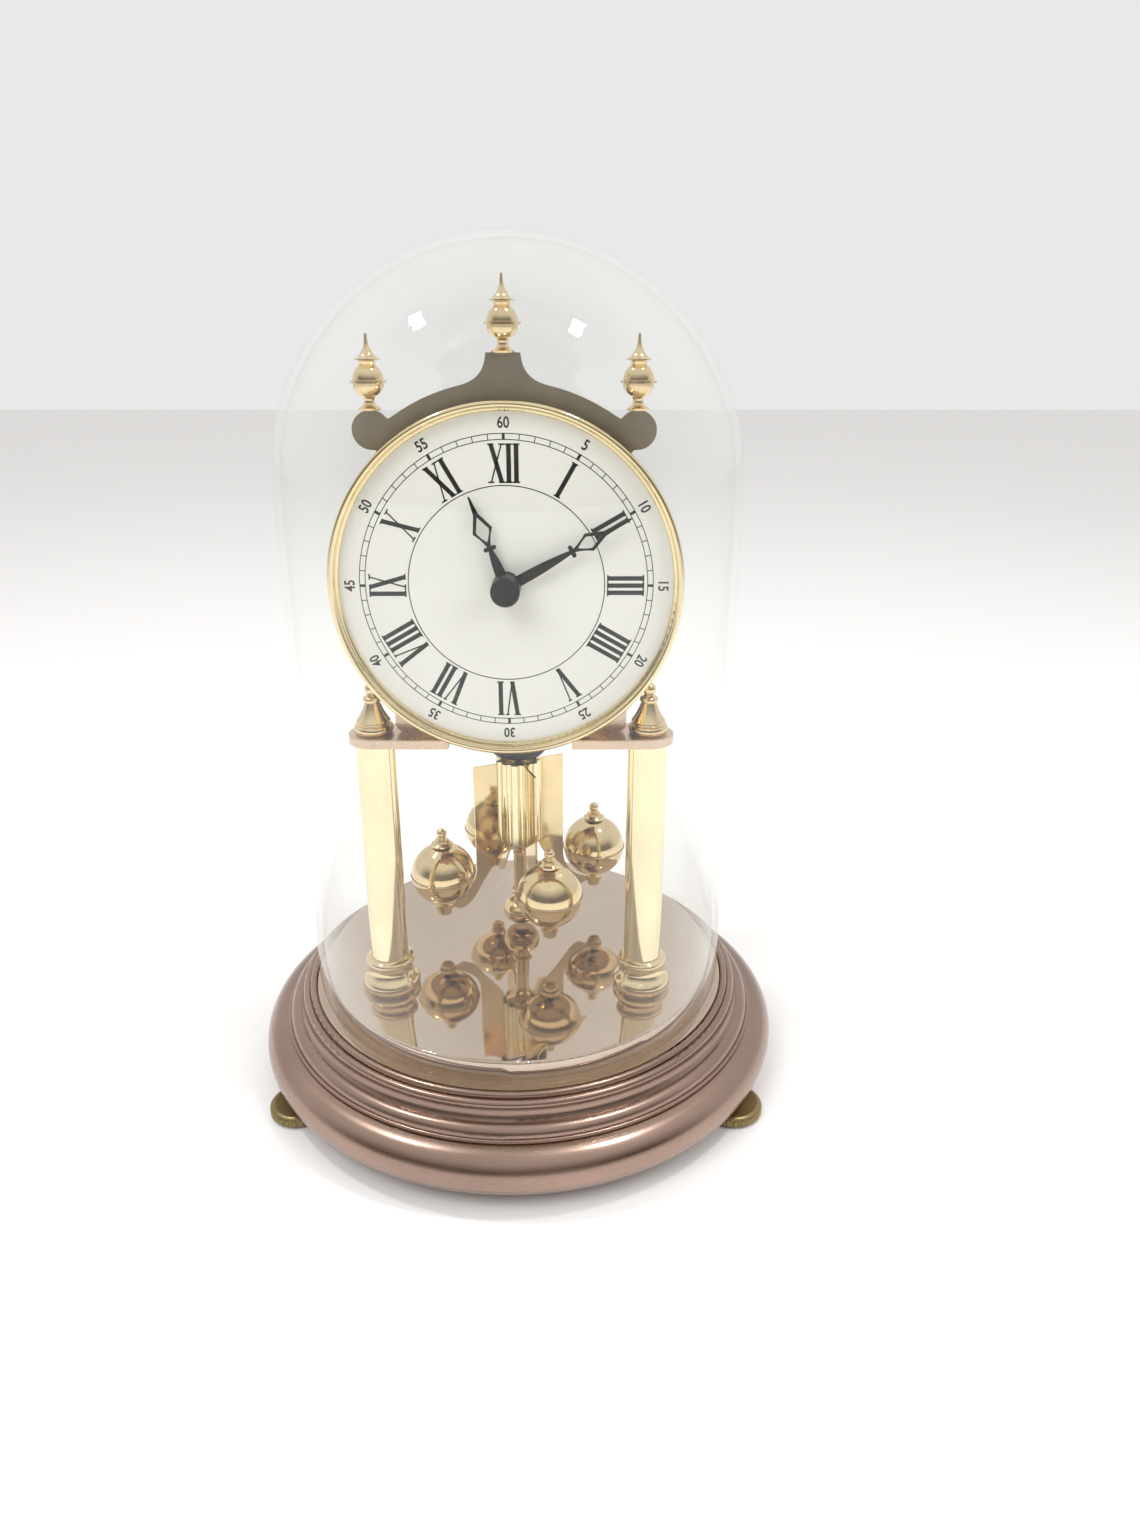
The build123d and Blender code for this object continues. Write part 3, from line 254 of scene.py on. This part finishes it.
def dome_glass():
    """Clear blown glass: it mirrors the room more towards its edges, and lets the rest through."""
    material, tree, surface = shader("dome_glass")
    waves = pattern(tree, "ShaderNodeTexNoise", 9, Detail=1.0)
    surface.inputs["Base Color"].default_value = (1.0, 1.0, 1.0, 1.0)
    surface.inputs["Metallic"].default_value = 1.0
    tree.links.new(spread(tree, waves.outputs["Fac"], 0.0, 0.03), surface.inputs["Roughness"])
    bumped(tree, surface, waves.outputs["Fac"], 0.3 * MM, 0.15)
    clear = tree.nodes.new("ShaderNodeBsdfTransparent")
    clear.inputs["Color"].default_value = (0.985, 0.99, 0.985, 1.0)
    slope = tree.nodes.new("ShaderNodeLayerWeight")
    slope.inputs["Blend"].default_value = 0.5
    steep = tree.nodes.new("ShaderNodeMath")
    steep.operation = "POWER"
    steep.inputs[1].default_value = 3.0
    either = tree.nodes.new("ShaderNodeMixShader")
    tree.links.new(slope.outputs["Facing"], steep.inputs[0])
    tree.links.new(spread(tree, steep.outputs[0], 0.03, 0.6, 0.0, 1.0), either.inputs["Fac"])
    tree.links.new(clear.outputs["BSDF"], either.inputs[1])
    tree.links.new(surface.outputs["BSDF"], either.inputs[2])
    tree.links.new(either.outputs["Shader"], tree.nodes["Material Output"].inputs["Surface"])
    return material


def battery_film():
    """Printed film of a cell: a dark jacket with a copper-coloured end band."""
    material, tree, surface = shader("battery_film")
    place = tree.nodes.new("ShaderNodeTexCoord")
    parts = tree.nodes.new("ShaderNodeSeparateXYZ")
    tree.links.new(place.outputs["Object"], parts.inputs["Vector"])
    low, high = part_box("battery")
    band = low.x + 0.72 * (high.x - low.x)
    fine = pattern(tree, "ShaderNodeTexNoise", 400, Detail=2.0)
    tree.links.new(blended(tree, parts.outputs["X"], (0.02, 0.025, 0.04, 1), (0.62, 0.33, 0.14, 1),
                           band, band + 0.1 * MM), surface.inputs["Base Color"])
    tree.links.new(spread(tree, fine.outputs["Fac"], 0.2, 0.3), surface.inputs["Roughness"])
    surface.inputs["Metallic"].default_value = 0.4
    return material


def finishes(colours):
    """Every finish by the name of its material slot."""
    return {
        "antique_gold": base_bronze(colours.bronze),
        "bronze_plate": metal("aged_olive_brass", colours.olive, 0.7, (0.3, 0.45), 40),
        "mirror_gold": metal("mirror_plate_brass", (0.62, 0.50, 0.40), 0.92, (0.03, 0.07), 20,
                             depth=0.004 * MM),
        "polished_brass": metal("polished_brass", colours.brass, 0.86, (0.05, 0.12), 70, coat=0.3),
        "rose_brass": metal("brushed_rose_brass", (0.74, 0.56, 0.43), 0.85, (0.2, 0.32), 50, (1, 12, 12)),
        "khaki_paint": metal("khaki_crest_metal", (0.35, 0.30, 0.215), 0.8, (0.38, 0.5), 90),
        "clear_glass": dome_glass(),
        "dial_white": paint("dial_paint", colours.dial, 0.97, (0.3, 0.42), 30, 700, 0.01 * MM),
        "hand_black": paint("hand_black", (0.012, 0.012, 0.012), 0.6, (0.3, 0.45), gloss=0.2),
        "zinc_steel": metal("zinc_plated_steel", (0.60, 0.59, 0.56), 0.8, (0.22, 0.38), 120),
        "black_plastic": paint("moulded_black", (0.018, 0.018, 0.019), 0.7, (0.38, 0.55), 50, 900),
        "natural_plastic": paint("natural_nylon", (0.74, 0.71, 0.62), 0.9, (0.35, 0.5), 60, 800),
        "copper_wire": metal("enamelled_copper", (0.62, 0.25, 0.10), 0.75, (0.2, 0.35), 90, (40, 40, 2)),
        "magnet_grey": metal("sintered_magnet", (0.17, 0.17, 0.18), 0.8, (0.4, 0.6), 200),
        "board_green": paint("solder_mask", (0.02, 0.12, 0.05), 0.7, (0.2, 0.35), 200),
        "battery_jacket": battery_film(),
    }


# ---------------------------------------------------------------- meshes
def shown(mesh, name, body, slot, *nodes):
    """A finished mesh as a piece that rides on a body and stands for CAD nodes."""
    piece = bpy.data.objects.new(name, mesh)
    bpy.context.scene.collection.objects.link(piece)
    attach(piece, body)
    if nodes:
        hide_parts(*nodes)
    return piece


def body_of(node):
    """Name of the body that a CAD node rides on."""
    return next(b for b, nodes in frame["record"]["behaviour"]["bodies"].items() if node in nodes)


def smooth_mesh(mesh, material, crease=32):
    """Merged, smoothly shaded mesh with its real edges kept sharp."""
    work = bmesh.new()
    work.from_mesh(mesh)
    bmesh.ops.remove_doubles(work, verts=work.verts, dist=0.0005 * MM)
    work.to_mesh(mesh)
    work.free()
    mesh.materials.clear()
    mesh.materials.append(material)
    for face in mesh.polygons:
        face.use_smooth = True
    mesh.set_sharp_from_angle(angle=math.radians(crease))
    mesh.update()
    return mesh


def refined(node, material, slot, crease=32):
    """A smoothly shaded copy of a CAD node that stands for it."""
    mesh = frame["nodes"][node].data.copy()
    if "custom_normal" in mesh.attributes:
        mesh.attributes.remove(mesh.attributes["custom_normal"])
    return shown(smooth_mesh(mesh, material, crease), f"{node}_finished", body_of(node), slot, node)


def prisms(name, outlines, depth, material):
    """Flat printed shapes: each outline of (x, z) points on the dial, raised by depth."""
    work = bmesh.new()
    for points in outlines:
        back = [work.verts.new((x, DIAL_FACE + 0.01 * MM, z)) for x, z in points]
        ahead = [work.verts.new((x, DIAL_FACE - depth, z)) for x, z in points]
        work.faces.new(ahead)
        work.faces.new(back[::-1])
        for i in range(len(points)):
            j = (i + 1) % len(points)
            work.faces.new((ahead[j], ahead[i], back[i], back[j]))
    bmesh.ops.recalc_face_normals(work, faces=work.faces)
    mesh = bpy.data.meshes.new(name)
    work.to_mesh(mesh)
    work.free()
    mesh.materials.append(material)
    return mesh


PEDESTAL_LEAN = 0.4 * MM        # how far the pedestal's side leans out as it leaves the top
LOBE_END = math.radians(190)    # where the lobe's edge passes behind the bezel
FLARE_STEPS, ARC_STEPS, LOBE_STEPS, DISC_STEPS = 18, 12, 27, 48
CREST_BREAK = 0.15 * MM         # broken edge of the crest plate


def meeting(radius, lobe, lobe_radius):
    """Where a circle about the dial's centre meets a lobe's, on the side towards twelve."""
    reach = lobe.length
    along = (reach ** 2 + radius ** 2 - lobe_radius ** 2) / (2 * reach)
    aside = math.sqrt(radius ** 2 - along ** 2)
    outward = lobe.normalized()
    return along * outward + aside * Vector((-outward.y, outward.x))


def swept(centre, radius, start, end, steps):
    """Points of an arc, both ends among them, between two angles clockwise from twelve."""
    angles = (start + (end - start) * i / steps for i in range(steps + 1))
    return [centre + radius * Vector((math.sin(a), math.cos(a))) for a in angles]


def crest_edge(sizes):
    """Right half of the crest's edge from the pedestal's top down, as points about the dial's centre."""
    middle = Vector((0, 0))
    lobe = Vector((sizes.lobe_out, sizes.lobe_rise))
    arc = sizes.crest_arc
    turn = math.asin(sizes.flare_end / arc)
    foot = Vector((arc * math.sin(turn), arc * math.cos(turn)))
    along_arc = Vector((-math.cos(turn), math.sin(turn)))
    top = Vector((sizes.pedestal_half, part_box("crest_plate")[1].z - DIAL_Z))
    down = Vector((PEDESTAL_LEAN, -sizes.flare_pull))
    flare = interpolate_bezier(top, top + down, foot + sizes.flare_pull * along_arc, foot, FLARE_STEPS)
    points = [Vector(p[:2]) for p in flare]
    join = meeting(arc, lobe, sizes.lobe_radius)
    points += swept(middle, arc, turn, math.atan2(join.x, join.y), ARC_STEPS)[1:]
    start = math.atan2(join.x - lobe.x, join.y - lobe.y)
    points += swept(lobe, sizes.lobe_radius, start, LOBE_END, LOBE_STEPS)[1:]
    under = math.atan2(points[-1].x, points[-1].y)
    return points + swept(middle, sizes.crest_disc, under, math.pi, DISC_STEPS)


def crest_mesh(sizes, material):
    """The crest plate with its smooth flare from the pedestal into the arc, and a broken edge."""
    low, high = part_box("crest_plate")
    right = crest_edge(sizes)
    edge = right + [Vector((-p.x, p.y)) for p in right[-2::-1]]
    work = bmesh.new()
    ahead = [work.verts.new((x, low.y, DIAL_Z + z)) for x, z in edge]
    back = [work.verts.new((x, high.y, DIAL_Z + z)) for x, z in edge]
    faces = [work.faces.new(ahead), work.faces.new(back[::-1])]
    rims = [e for face in faces for e in face.edges]
    for i in range(len(edge)):
        j = (i + 1) % len(edge)
        work.faces.new((ahead[j], ahead[i], back[i], back[j]))
    bmesh.ops.bevel(work, geom=rims, offset=CREST_BREAK, segments=2, profile=0.5, affect="EDGES")
    bmesh.ops.recalc_face_normals(work, faces=work.faces)
    mesh = bpy.data.meshes.new("crest_plate")
    work.to_mesh(mesh)
    work.free()
    return smooth_mesh(mesh, material)


def on_dial(radius, across, angle):
    """Point of the dial at a radius, and across it clockwise, on the ray at an angle from twelve."""
    s, c = math.sin(angle), math.cos(angle)
    return (radius * s + across * c, DIAL_Z + radius * c - across * s)


# ---------------------------------------------------------------- geometry nodes
def new_tree(name, inputs):
    """A Geometry Nodes tree with named inputs; returns the tree, its inputs and its output."""
    tree = bpy.data.node_groups.new(name, "GeometryNodeTree")
    for label, kind, value in inputs:
        socket = tree.interface.new_socket(label, in_out="INPUT", socket_type=kind)
        if value is not None:
            socket.default_value = value
    tree.interface.new_socket("Geometry", in_out="OUTPUT", socket_type="NodeSocketGeometry")
    return tree, tree.nodes.new("NodeGroupInput"), tree.nodes.new("NodeGroupOutput")


def node(tree, kind, links=None, **settings):
    """A node with its settings made and its inputs joined to outputs or set to values."""
    made = tree.nodes.new(kind)
    for key, value in settings.items():
        setattr(made, key, value)
    for socket, source in (links or {}).items():
        if isinstance(source, bpy.types.NodeSocket):
            tree.links.new(source, made.inputs[socket])
        else:
            made.inputs[socket].default_value = source
    return made


def placed(tree, given, given_out, geometry):
    """Ends a tree: turn and move the geometry, realize it and set its material."""
    move = node(tree, "GeometryNodeTransform", {"Geometry": geometry, "Rotation": given.outputs["Turn"],
                                                "Translation": given.outputs["Centre"]})
    real = node(tree, "GeometryNodeRealizeInstances", {"Geometry": move.outputs["Geometry"]})
    painted = node(tree, "GeometryNodeSetMaterial", {"Geometry": real.outputs["Geometry"],
                                                     "Material": given.outputs["Material"]})
    tree.links.new(painted.outputs["Geometry"], given_out.inputs["Geometry"])
    return tree


PLACE_INPUTS = [("Centre", "NodeSocketVector", (0, 0, 0)), ("Turn", "NodeSocketRotation", None),
                ("Material", "NodeSocketMaterial", None)]


def bar_ring_tree():
    """Bars set radially round a circle: the dial's ticks and the setting knob's ribs."""
    tree, given, out = new_tree("bar_ring", [
        ("Count", "NodeSocketInt", 60), ("Radius", "NodeSocketFloat", 0.04),
        ("Bar", "NodeSocketVector", (0.001, 0.0002, 0.0001)), *PLACE_INPUTS])
    circle = node(tree, "GeometryNodeMeshCircle", {"Vertices": given.outputs["Count"],
                                                   "Radius": given.outputs["Radius"]})
    bar = node(tree, "GeometryNodeMeshCube", {"Size": given.outputs["Bar"]})
    index = node(tree, "GeometryNodeInputIndex")
    share = node(tree, "ShaderNodeMath", {0: index.outputs[0], 1: given.outputs["Count"]},
                 operation="DIVIDE")
    angle = node(tree, "ShaderNodeMath", {0: share.outputs[0], 1: math.tau}, operation="MULTIPLY")
    turn = node(tree, "ShaderNodeCombineXYZ", {"Z": angle.outputs[0]})
    bars = node(tree, "GeometryNodeInstanceOnPoints", {
        "Points": circle.outputs["Mesh"], "Instance": bar.outputs["Mesh"], "Rotation": turn.outputs[0]})
    return placed(tree, given, out, bars.outputs["Instances"])


def band_tree():
    """A circle swept with a flat section: the dial's lines and the balls' seams."""
    tree, given, out = new_tree("band", [
        ("Radius", "NodeSocketFloat", 0.04), ("Width", "NodeSocketFloat", 0.0002),
        ("Height", "NodeSocketFloat", 0.0001), *PLACE_INPUTS])
    circle = node(tree, "GeometryNodeCurvePrimitiveCircle", {"Resolution": 192,
                                                             "Radius": given.outputs["Radius"]})
    section = node(tree, "GeometryNodeCurvePrimitiveQuadrilateral", {
        "Width": given.outputs["Width"], "Height": given.outputs["Height"]})
    swept = node(tree, "GeometryNodeCurveToMesh", {
        "Curve": circle.outputs["Curve"], "Profile Curve": section.outputs["Curve"]})
    return placed(tree, given, out, swept.outputs["Mesh"])


def grown(name, tree, body, slot, **values):
    """A tree's result as a plain mesh piece."""
    start = bpy.data.objects.new(name + "_start", bpy.data.meshes.new(name + "_start"))
    bpy.context.scene.collection.objects.link(start)
    modifier = start.modifiers.new("grow", "NODES")
    modifier.node_group = tree
    for item in tree.interface.items_tree:
        if item.in_out == "INPUT" and item.name in values:
            modifier[item.identifier] = values[item.name]
    graph = bpy.context.evaluated_depsgraph_get()
    mesh = bpy.data.meshes.new_from_object(start.evaluated_get(graph), depsgraph=graph)
    bpy.data.objects.remove(start)
    if not mesh.polygons:
        raise RuntimeError(f"{name} grew no faces")
    work = bmesh.new()
    work.from_mesh(mesh)
    bmesh.ops.remove_doubles(work, verts=work.verts, dist=0.0002 * MM)
    bmesh.ops.recalc_face_normals(work, faces=work.faces)
    work.to_mesh(mesh)
    work.free()
    mesh.name = name
    return shown(mesh, name, body, slot)


# ---------------------------------------------------------------- roman numerals
THICK, THIN, SERIF = 1.35 * MM, 0.44 * MM, 0.6 * MM
X_SERIF = 0.8 * THICK           # stroke width that an X's feet and caps are cut for
LETTER_SPREAD = 1.6 * MM        # from the middle of a V or an X to the ends of its strokes
LETTER_STEP = {"I": 2.2 * MM, "V": 5.1 * MM, "X": 5.0 * MM}


def slanted(x0, x1, width, height):
    """A stroke from (x0, 0) to (x1, height) of a width across."""
    h = width / 2
    return [(x0 - h, 0), (x0 + h, 0), (x1 + h, height), (x1 - h, height)]


def serif(x, width, y):
    """A thin foot or cap of a stroke."""
    h = width / 2 + SERIF * 0.6
    return [(x - h, y - THIN / 2), (x + h, y - THIN / 2), (x + h, y + THIN / 2), (x - h, y + THIN / 2)]


def letter(kind, x, height):
    """Strokes of one letter whose left side is at x."""
    mid = x + LETTER_STEP[kind] / 2
    left, right = mid - LETTER_SPREAD, mid + LETTER_SPREAD
    foot, cap = THIN / 2, height - THIN / 2
    if kind == "I":
        return [slanted(mid, mid, THICK, height), serif(mid, THICK, foot), serif(mid, THICK, cap)]
    if kind == "V":
        return [slanted(mid, left, THICK, height), slanted(mid, right, THIN, height),
                serif(left, THICK, cap), serif(right, THIN, cap)]
    return [slanted(right, left, THICK, height), slanted(left, right, THIN, height),
            *(serif(side, X_SERIF, y) for side in (left, right) for y in (foot, cap))]


def numeral_outlines(text, angle, foot, height):
    """Outlines on the dial of one hour numeral, its feet towards the centre."""
    width = sum(LETTER_STEP[c] for c in text)
    x, outlines = -width / 2, []
    for c in text:
        outlines += [[on_dial(foot + y, across, angle) for across, y in points]
                     for points in letter(c, x, height)]
        x += LETTER_STEP[c]
    return outlines


# ---------------------------------------------------------------- operators
MADE = {}                       # finishes made so far, by material slot
KNOB_RIBS, KNOB_RIM = 36, 2.4 * MM   # the ribs of the setting knob, and their middle below its face


class CLOCK_OT_finishes(bpy.types.Operator):
    """Make every finish of the clock"""

    bl_idname = "clock.finishes"
    bl_label = "Finishes"

    def execute(self, context):
        colours = context.scene.clock_colours
        MADE.update(finishes(colours))
        MADE["column_brass"] = metal("column_brass", colours.pale_brass, 0.9, (0.07, 0.15), 40,
                                     (1, 1, 0.05), 0.01 * MM, 0.3)
        MADE["bezel_brass"] = metal("bezel_brass", (0.90, 0.75, 0.44), 0.9, (0.05, 0.12), 40, coat=0.2)
        MADE["print_black"] = paint("print_black", (0.008, 0.008, 0.009), 0.6, (0.4, 0.55), 90, 900,
                                    0.005 * MM)
        return {"FINISHED"}


class CLOCK_OT_metalwork(bpy.types.Operator):
    """Finish every CAD piece with its own metal, plastic or glass"""

    bl_idname = "clock.metalwork"
    bl_label = "Metalwork"

    def execute(self, context):
        own = {"column_left": "column_brass", "column_right": "column_brass", "bezel": "bezel_brass",
               "hand_nut": "hand_black", "dial_support": "rose_brass", "fluted_column": "column_brass"}
        for row in frame["record"]["subparts"]:
            name, slot = row["node"], row["material_slot"]
            if name not in frame["nodes"]:
                raise RuntimeError(f"no CAD node {name}")
            if name == "crest_plate":
                plate = crest_mesh(context.scene.clock_crest, MADE[slot])
                shown(plate, "crest_plate_finished", body_of(name), slot, name)
            else:
                refined(name, MADE[own.get(name, slot)], slot)
        return {"FINISHED"}


class CLOCK_OT_dial_print(bpy.types.Operator):
    """Print the minute track, the inner circle, the hour numerals and the minute numbers"""

    bl_idname = "clock.dial_print"
    bl_label = "Dial Print"

    def execute(self, context):
        sizes, ink = context.scene.clock_dial, context.scene.clock_dial.ink
        bars, band = bar_ring_tree(), band_tree()
        dial = {"Centre": (0, DIAL_FACE - ink / 2 + 0.01 * MM, DIAL_Z), "Turn": (math.pi / 2, 0, 0)}
        black = MADE["print_black"]
        middle = (sizes.track_inner + sizes.track_outer) / 2
        gap = sizes.track_outer - sizes.track_inner
        grown("minute_ticks", bars, "clock_body", "dial_white", Count=60, Radius=middle,
              Bar=(gap, 0.26 * MM, ink), Material=black, **dial)
        grown("five_minute_ticks", bars, "clock_body", "dial_white", Count=12, Radius=middle,
              Bar=(gap * 1.12, 0.85 * MM, ink * 1.1), Material=black, **dial)
        for name, radius, width in (("track_inner_line", sizes.track_inner, 0.24 * MM),
                                    ("track_outer_line", sizes.track_outer, 0.24 * MM),
                                    ("inner_circle", sizes.circle_radius, 0.28 * MM)):
            grown(name, band, "clock_body", "dial_white", Radius=radius, Width=width, Height=ink,
                  Material=black, **dial)
        hours = ("XII", "I", "II", "III", "IIII", "V", "VI", "VII", "VIII", "IX", "X", "XI")
        outlines = [o for i, text in enumerate(hours) for o in
                    numeral_outlines(text, i * math.tau / 12, sizes.numeral_foot, sizes.numeral_height)]
        shown(prisms("hour_numerals", outlines, ink, black), "hour_numerals", "clock_body", "dial_white")
        for minute in range(5, 61, 5):
            self.number(minute, sizes, black)
        return {"FINISHED"}

    def number(self, minute, sizes, material):
        """One minute number, its feet towards the centre."""
        words = bpy.data.curves.new(f"minute_{minute}", "FONT")
        words.body, words.size, words.extrude = str(minute), sizes.number_height, sizes.ink / 2
        words.align_x, words.align_y = "CENTER", "CENTER"
        words.resolution_u = 4
        words.offset = 0.02 * sizes.number_height
        text = bpy.data.objects.new("text", words)
        bpy.context.scene.collection.objects.link(text)
        graph = bpy.context.evaluated_depsgraph_get()
        mesh = bpy.data.meshes.new_from_object(text.evaluated_get(graph), depsgraph=graph)
        bpy.data.objects.remove(text)
        angle = minute * math.tau / 60
        x, z = on_dial(sizes.number_radius, 0, angle)
        narrow = Matrix.Diagonal((0.82, 1, 1, 1))
        facing = Matrix.Rotation(angle, 4, "Y") @ Matrix.Rotation(math.pi / 2, 4, "X") @ narrow
        mesh.transform(Matrix.Translation((x, DIAL_FACE - sizes.ink / 2 + 0.01 * MM, z)) @ facing)
        mesh.materials.clear()
        mesh.materials.append(material)
        shown(mesh, f"minute_number_{minute}", "clock_body", "dial_white")


class CLOCK_OT_trim(bpy.types.Operator):
    """Add the balls' seams and the setting knob's ribs"""

    bl_idname = "clock.trim"
    bl_label = "Trim"

    def execute(self, context):
        bars, band = bpy.data.node_groups["bar_ring"], bpy.data.node_groups["band"]
        for i in range(1, 5):
            low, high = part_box(f"ball_{i}")
            middle = (low + high) / 2
            grown(f"ball_{i}_seam", band, "pendulum", "polished_brass", Radius=(high.x - low.x) / 2,
                  Width=0.3 * MM, Height=0.5 * MM, Centre=middle, Turn=(0, 0, 0),
                  Material=MADE["polished_brass"])
        low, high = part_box("setting_knob")
        radius, rib = (high.x - low.x) / 2, Vector((0.5, 0.45, 3.6)) * MM
        knob = Vector(((low.x + high.x) / 2, high.y - KNOB_RIM, (low.z + high.z) / 2))
        grown("setting_knob_ribs", bars, "setting_work", "black_plastic", Count=KNOB_RIBS, Radius=radius,
              Bar=rib, Centre=knob, Turn=(math.pi / 2, 0, 0), Material=MADE["black_plastic"])
        return {"FINISHED"}


class CLOCK_OT_stage(bpy.types.Operator):
    """Set the pale floor, the soft lights and the camera"""

    bl_idname = "clock.stage"
    bl_label = "Stage"

    def execute(self, context):
        sizes = context.scene.clock_stage
        h = sizes.floor_half
        mesh = bpy.data.meshes.new("floor")
        mesh.from_pydata([(-h, -h, 0), (h, -h, 0), (h, h, 0), (-h, h, 0)], [], [(0, 1, 2, 3)])
        floor = bpy.data.objects.new("floor", mesh)
        context.scene.collection.objects.link(floor)
        mesh.materials.append(paint("floor_white", (0.88, 0.87, 0.865), 0.985, (0.5, 0.6), 3, 200))
        self.world(context.scene)
        for name, place, size, power in (
                ("window_light", (-0.55, -0.75, 1.05), 0.7, 7.0),
                ("fill_light", (0.85, -0.45, 0.75), 0.7, 4.0),
                ("lamp_left", (-0.472, 0.047, 1.036), 0.07, 2.2),
                ("lamp_right", (0.393, -0.058, 1.081), 0.07, 2.2)):
            self.light(context.scene, name, Vector(place), size, power)
        camera = bpy.data.objects.new("camera", bpy.data.cameras.new("camera"))
        context.scene.collection.objects.link(camera)
        camera.location = sizes.camera_place
        camera.rotation_euler = (sizes.camera_tilt, 0, 0)
        camera.data.lens, camera.data.sensor_width = sizes.lens, 36.0
        camera.data.clip_start = 0.01
        context.scene.camera = camera
        return {"FINISHED"}

    def world(self, scene):
        """Pale room light with a dim side behind the camera, which the polished metal mirrors."""
        scene.world = bpy.data.worlds.new("room")
        scene.world.use_nodes = True
        tree = scene.world.node_tree
        place = tree.nodes.new("ShaderNodeTexCoord")
        parts = tree.nodes.new("ShaderNodeSeparateXYZ")
        tree.links.new(place.outputs["Generated"], parts.inputs["Vector"])
        wall = blended(tree, parts.outputs["Y"], (0.16, 0.13, 0.105, 1), (0.94, 0.925, 0.915, 1), -0.5, 0.0)
        room = tree.nodes.new("ShaderNodeMix")
        room.data_type = "RGBA"
        room.inputs["B"].default_value = (1.0, 0.99, 0.975, 1)
        tree.links.new(wall, room.inputs["A"])
        tree.links.new(spread(tree, parts.outputs["Z"], 0, 1, 0.25, 0.7), room.inputs["Factor"])
        tree.links.new(room.outputs["Result"], tree.nodes["Background"].inputs["Color"])
        tree.nodes["Background"].inputs["Strength"].default_value = 0.88
        scene.view_settings.view_transform = "Standard"

    def light(self, scene, name, place, size, power):
        """A square soft light aimed at the clock's middle."""
        data = bpy.data.lights.new(name, "AREA")
        data.size, data.energy = size, power
        lamp = bpy.data.objects.new(name, data)
        lamp.visible_glossy = size < 0.1
        lamp.location = place
        lamp.rotation_euler = (Vector((0, 0, 0.13)) - place).to_track_quat("-Z", "Y").to_euler()
        scene.collection.objects.link(lamp)


class CLOCK_PT_panel(bpy.types.Panel):
    """The steps and sizes of the clock in the sidebar"""

    bl_label = "Anniversary Clock"
    bl_space_type = "VIEW_3D"
    bl_region_type = "UI"
    bl_category = "Clock"

    def draw(self, context):
        for attribute, kind in GROUPS.items():
            for name in kind.__annotations__:
                self.layout.prop(getattr(context.scene, attribute), name)
        for step in STEPS:
            self.layout.operator(step.bl_idname)


STEPS = (CLOCK_OT_finishes, CLOCK_OT_metalwork, CLOCK_OT_dial_print, CLOCK_OT_trim, CLOCK_OT_stage)
GROUPS = {"clock_dial": ClockDialSizes, "clock_crest": ClockCrestSizes, "clock_colours": ClockColours,
          "clock_stage": ClockStageSizes}


def register():
    for group in GROUPS.values():
        bpy.utils.register_class(group)
    for step in (*STEPS, CLOCK_PT_panel):
        bpy.utils.register_class(step)
    for name, group in GROUPS.items():
        setattr(bpy.types.Scene, name, bpy.props.PointerProperty(type=group))


def unregister():
    for name in GROUPS:
        delattr(bpy.types.Scene, name)
    for cls in (CLOCK_PT_panel, *STEPS, *GROUPS.values()):
        bpy.utils.unregister_class(cls)


def main():
    register()
    for step in STEPS:
        getattr(bpy.ops.clock, step.bl_idname.split(".")[1])()


if __name__ == "__main__":
    main()
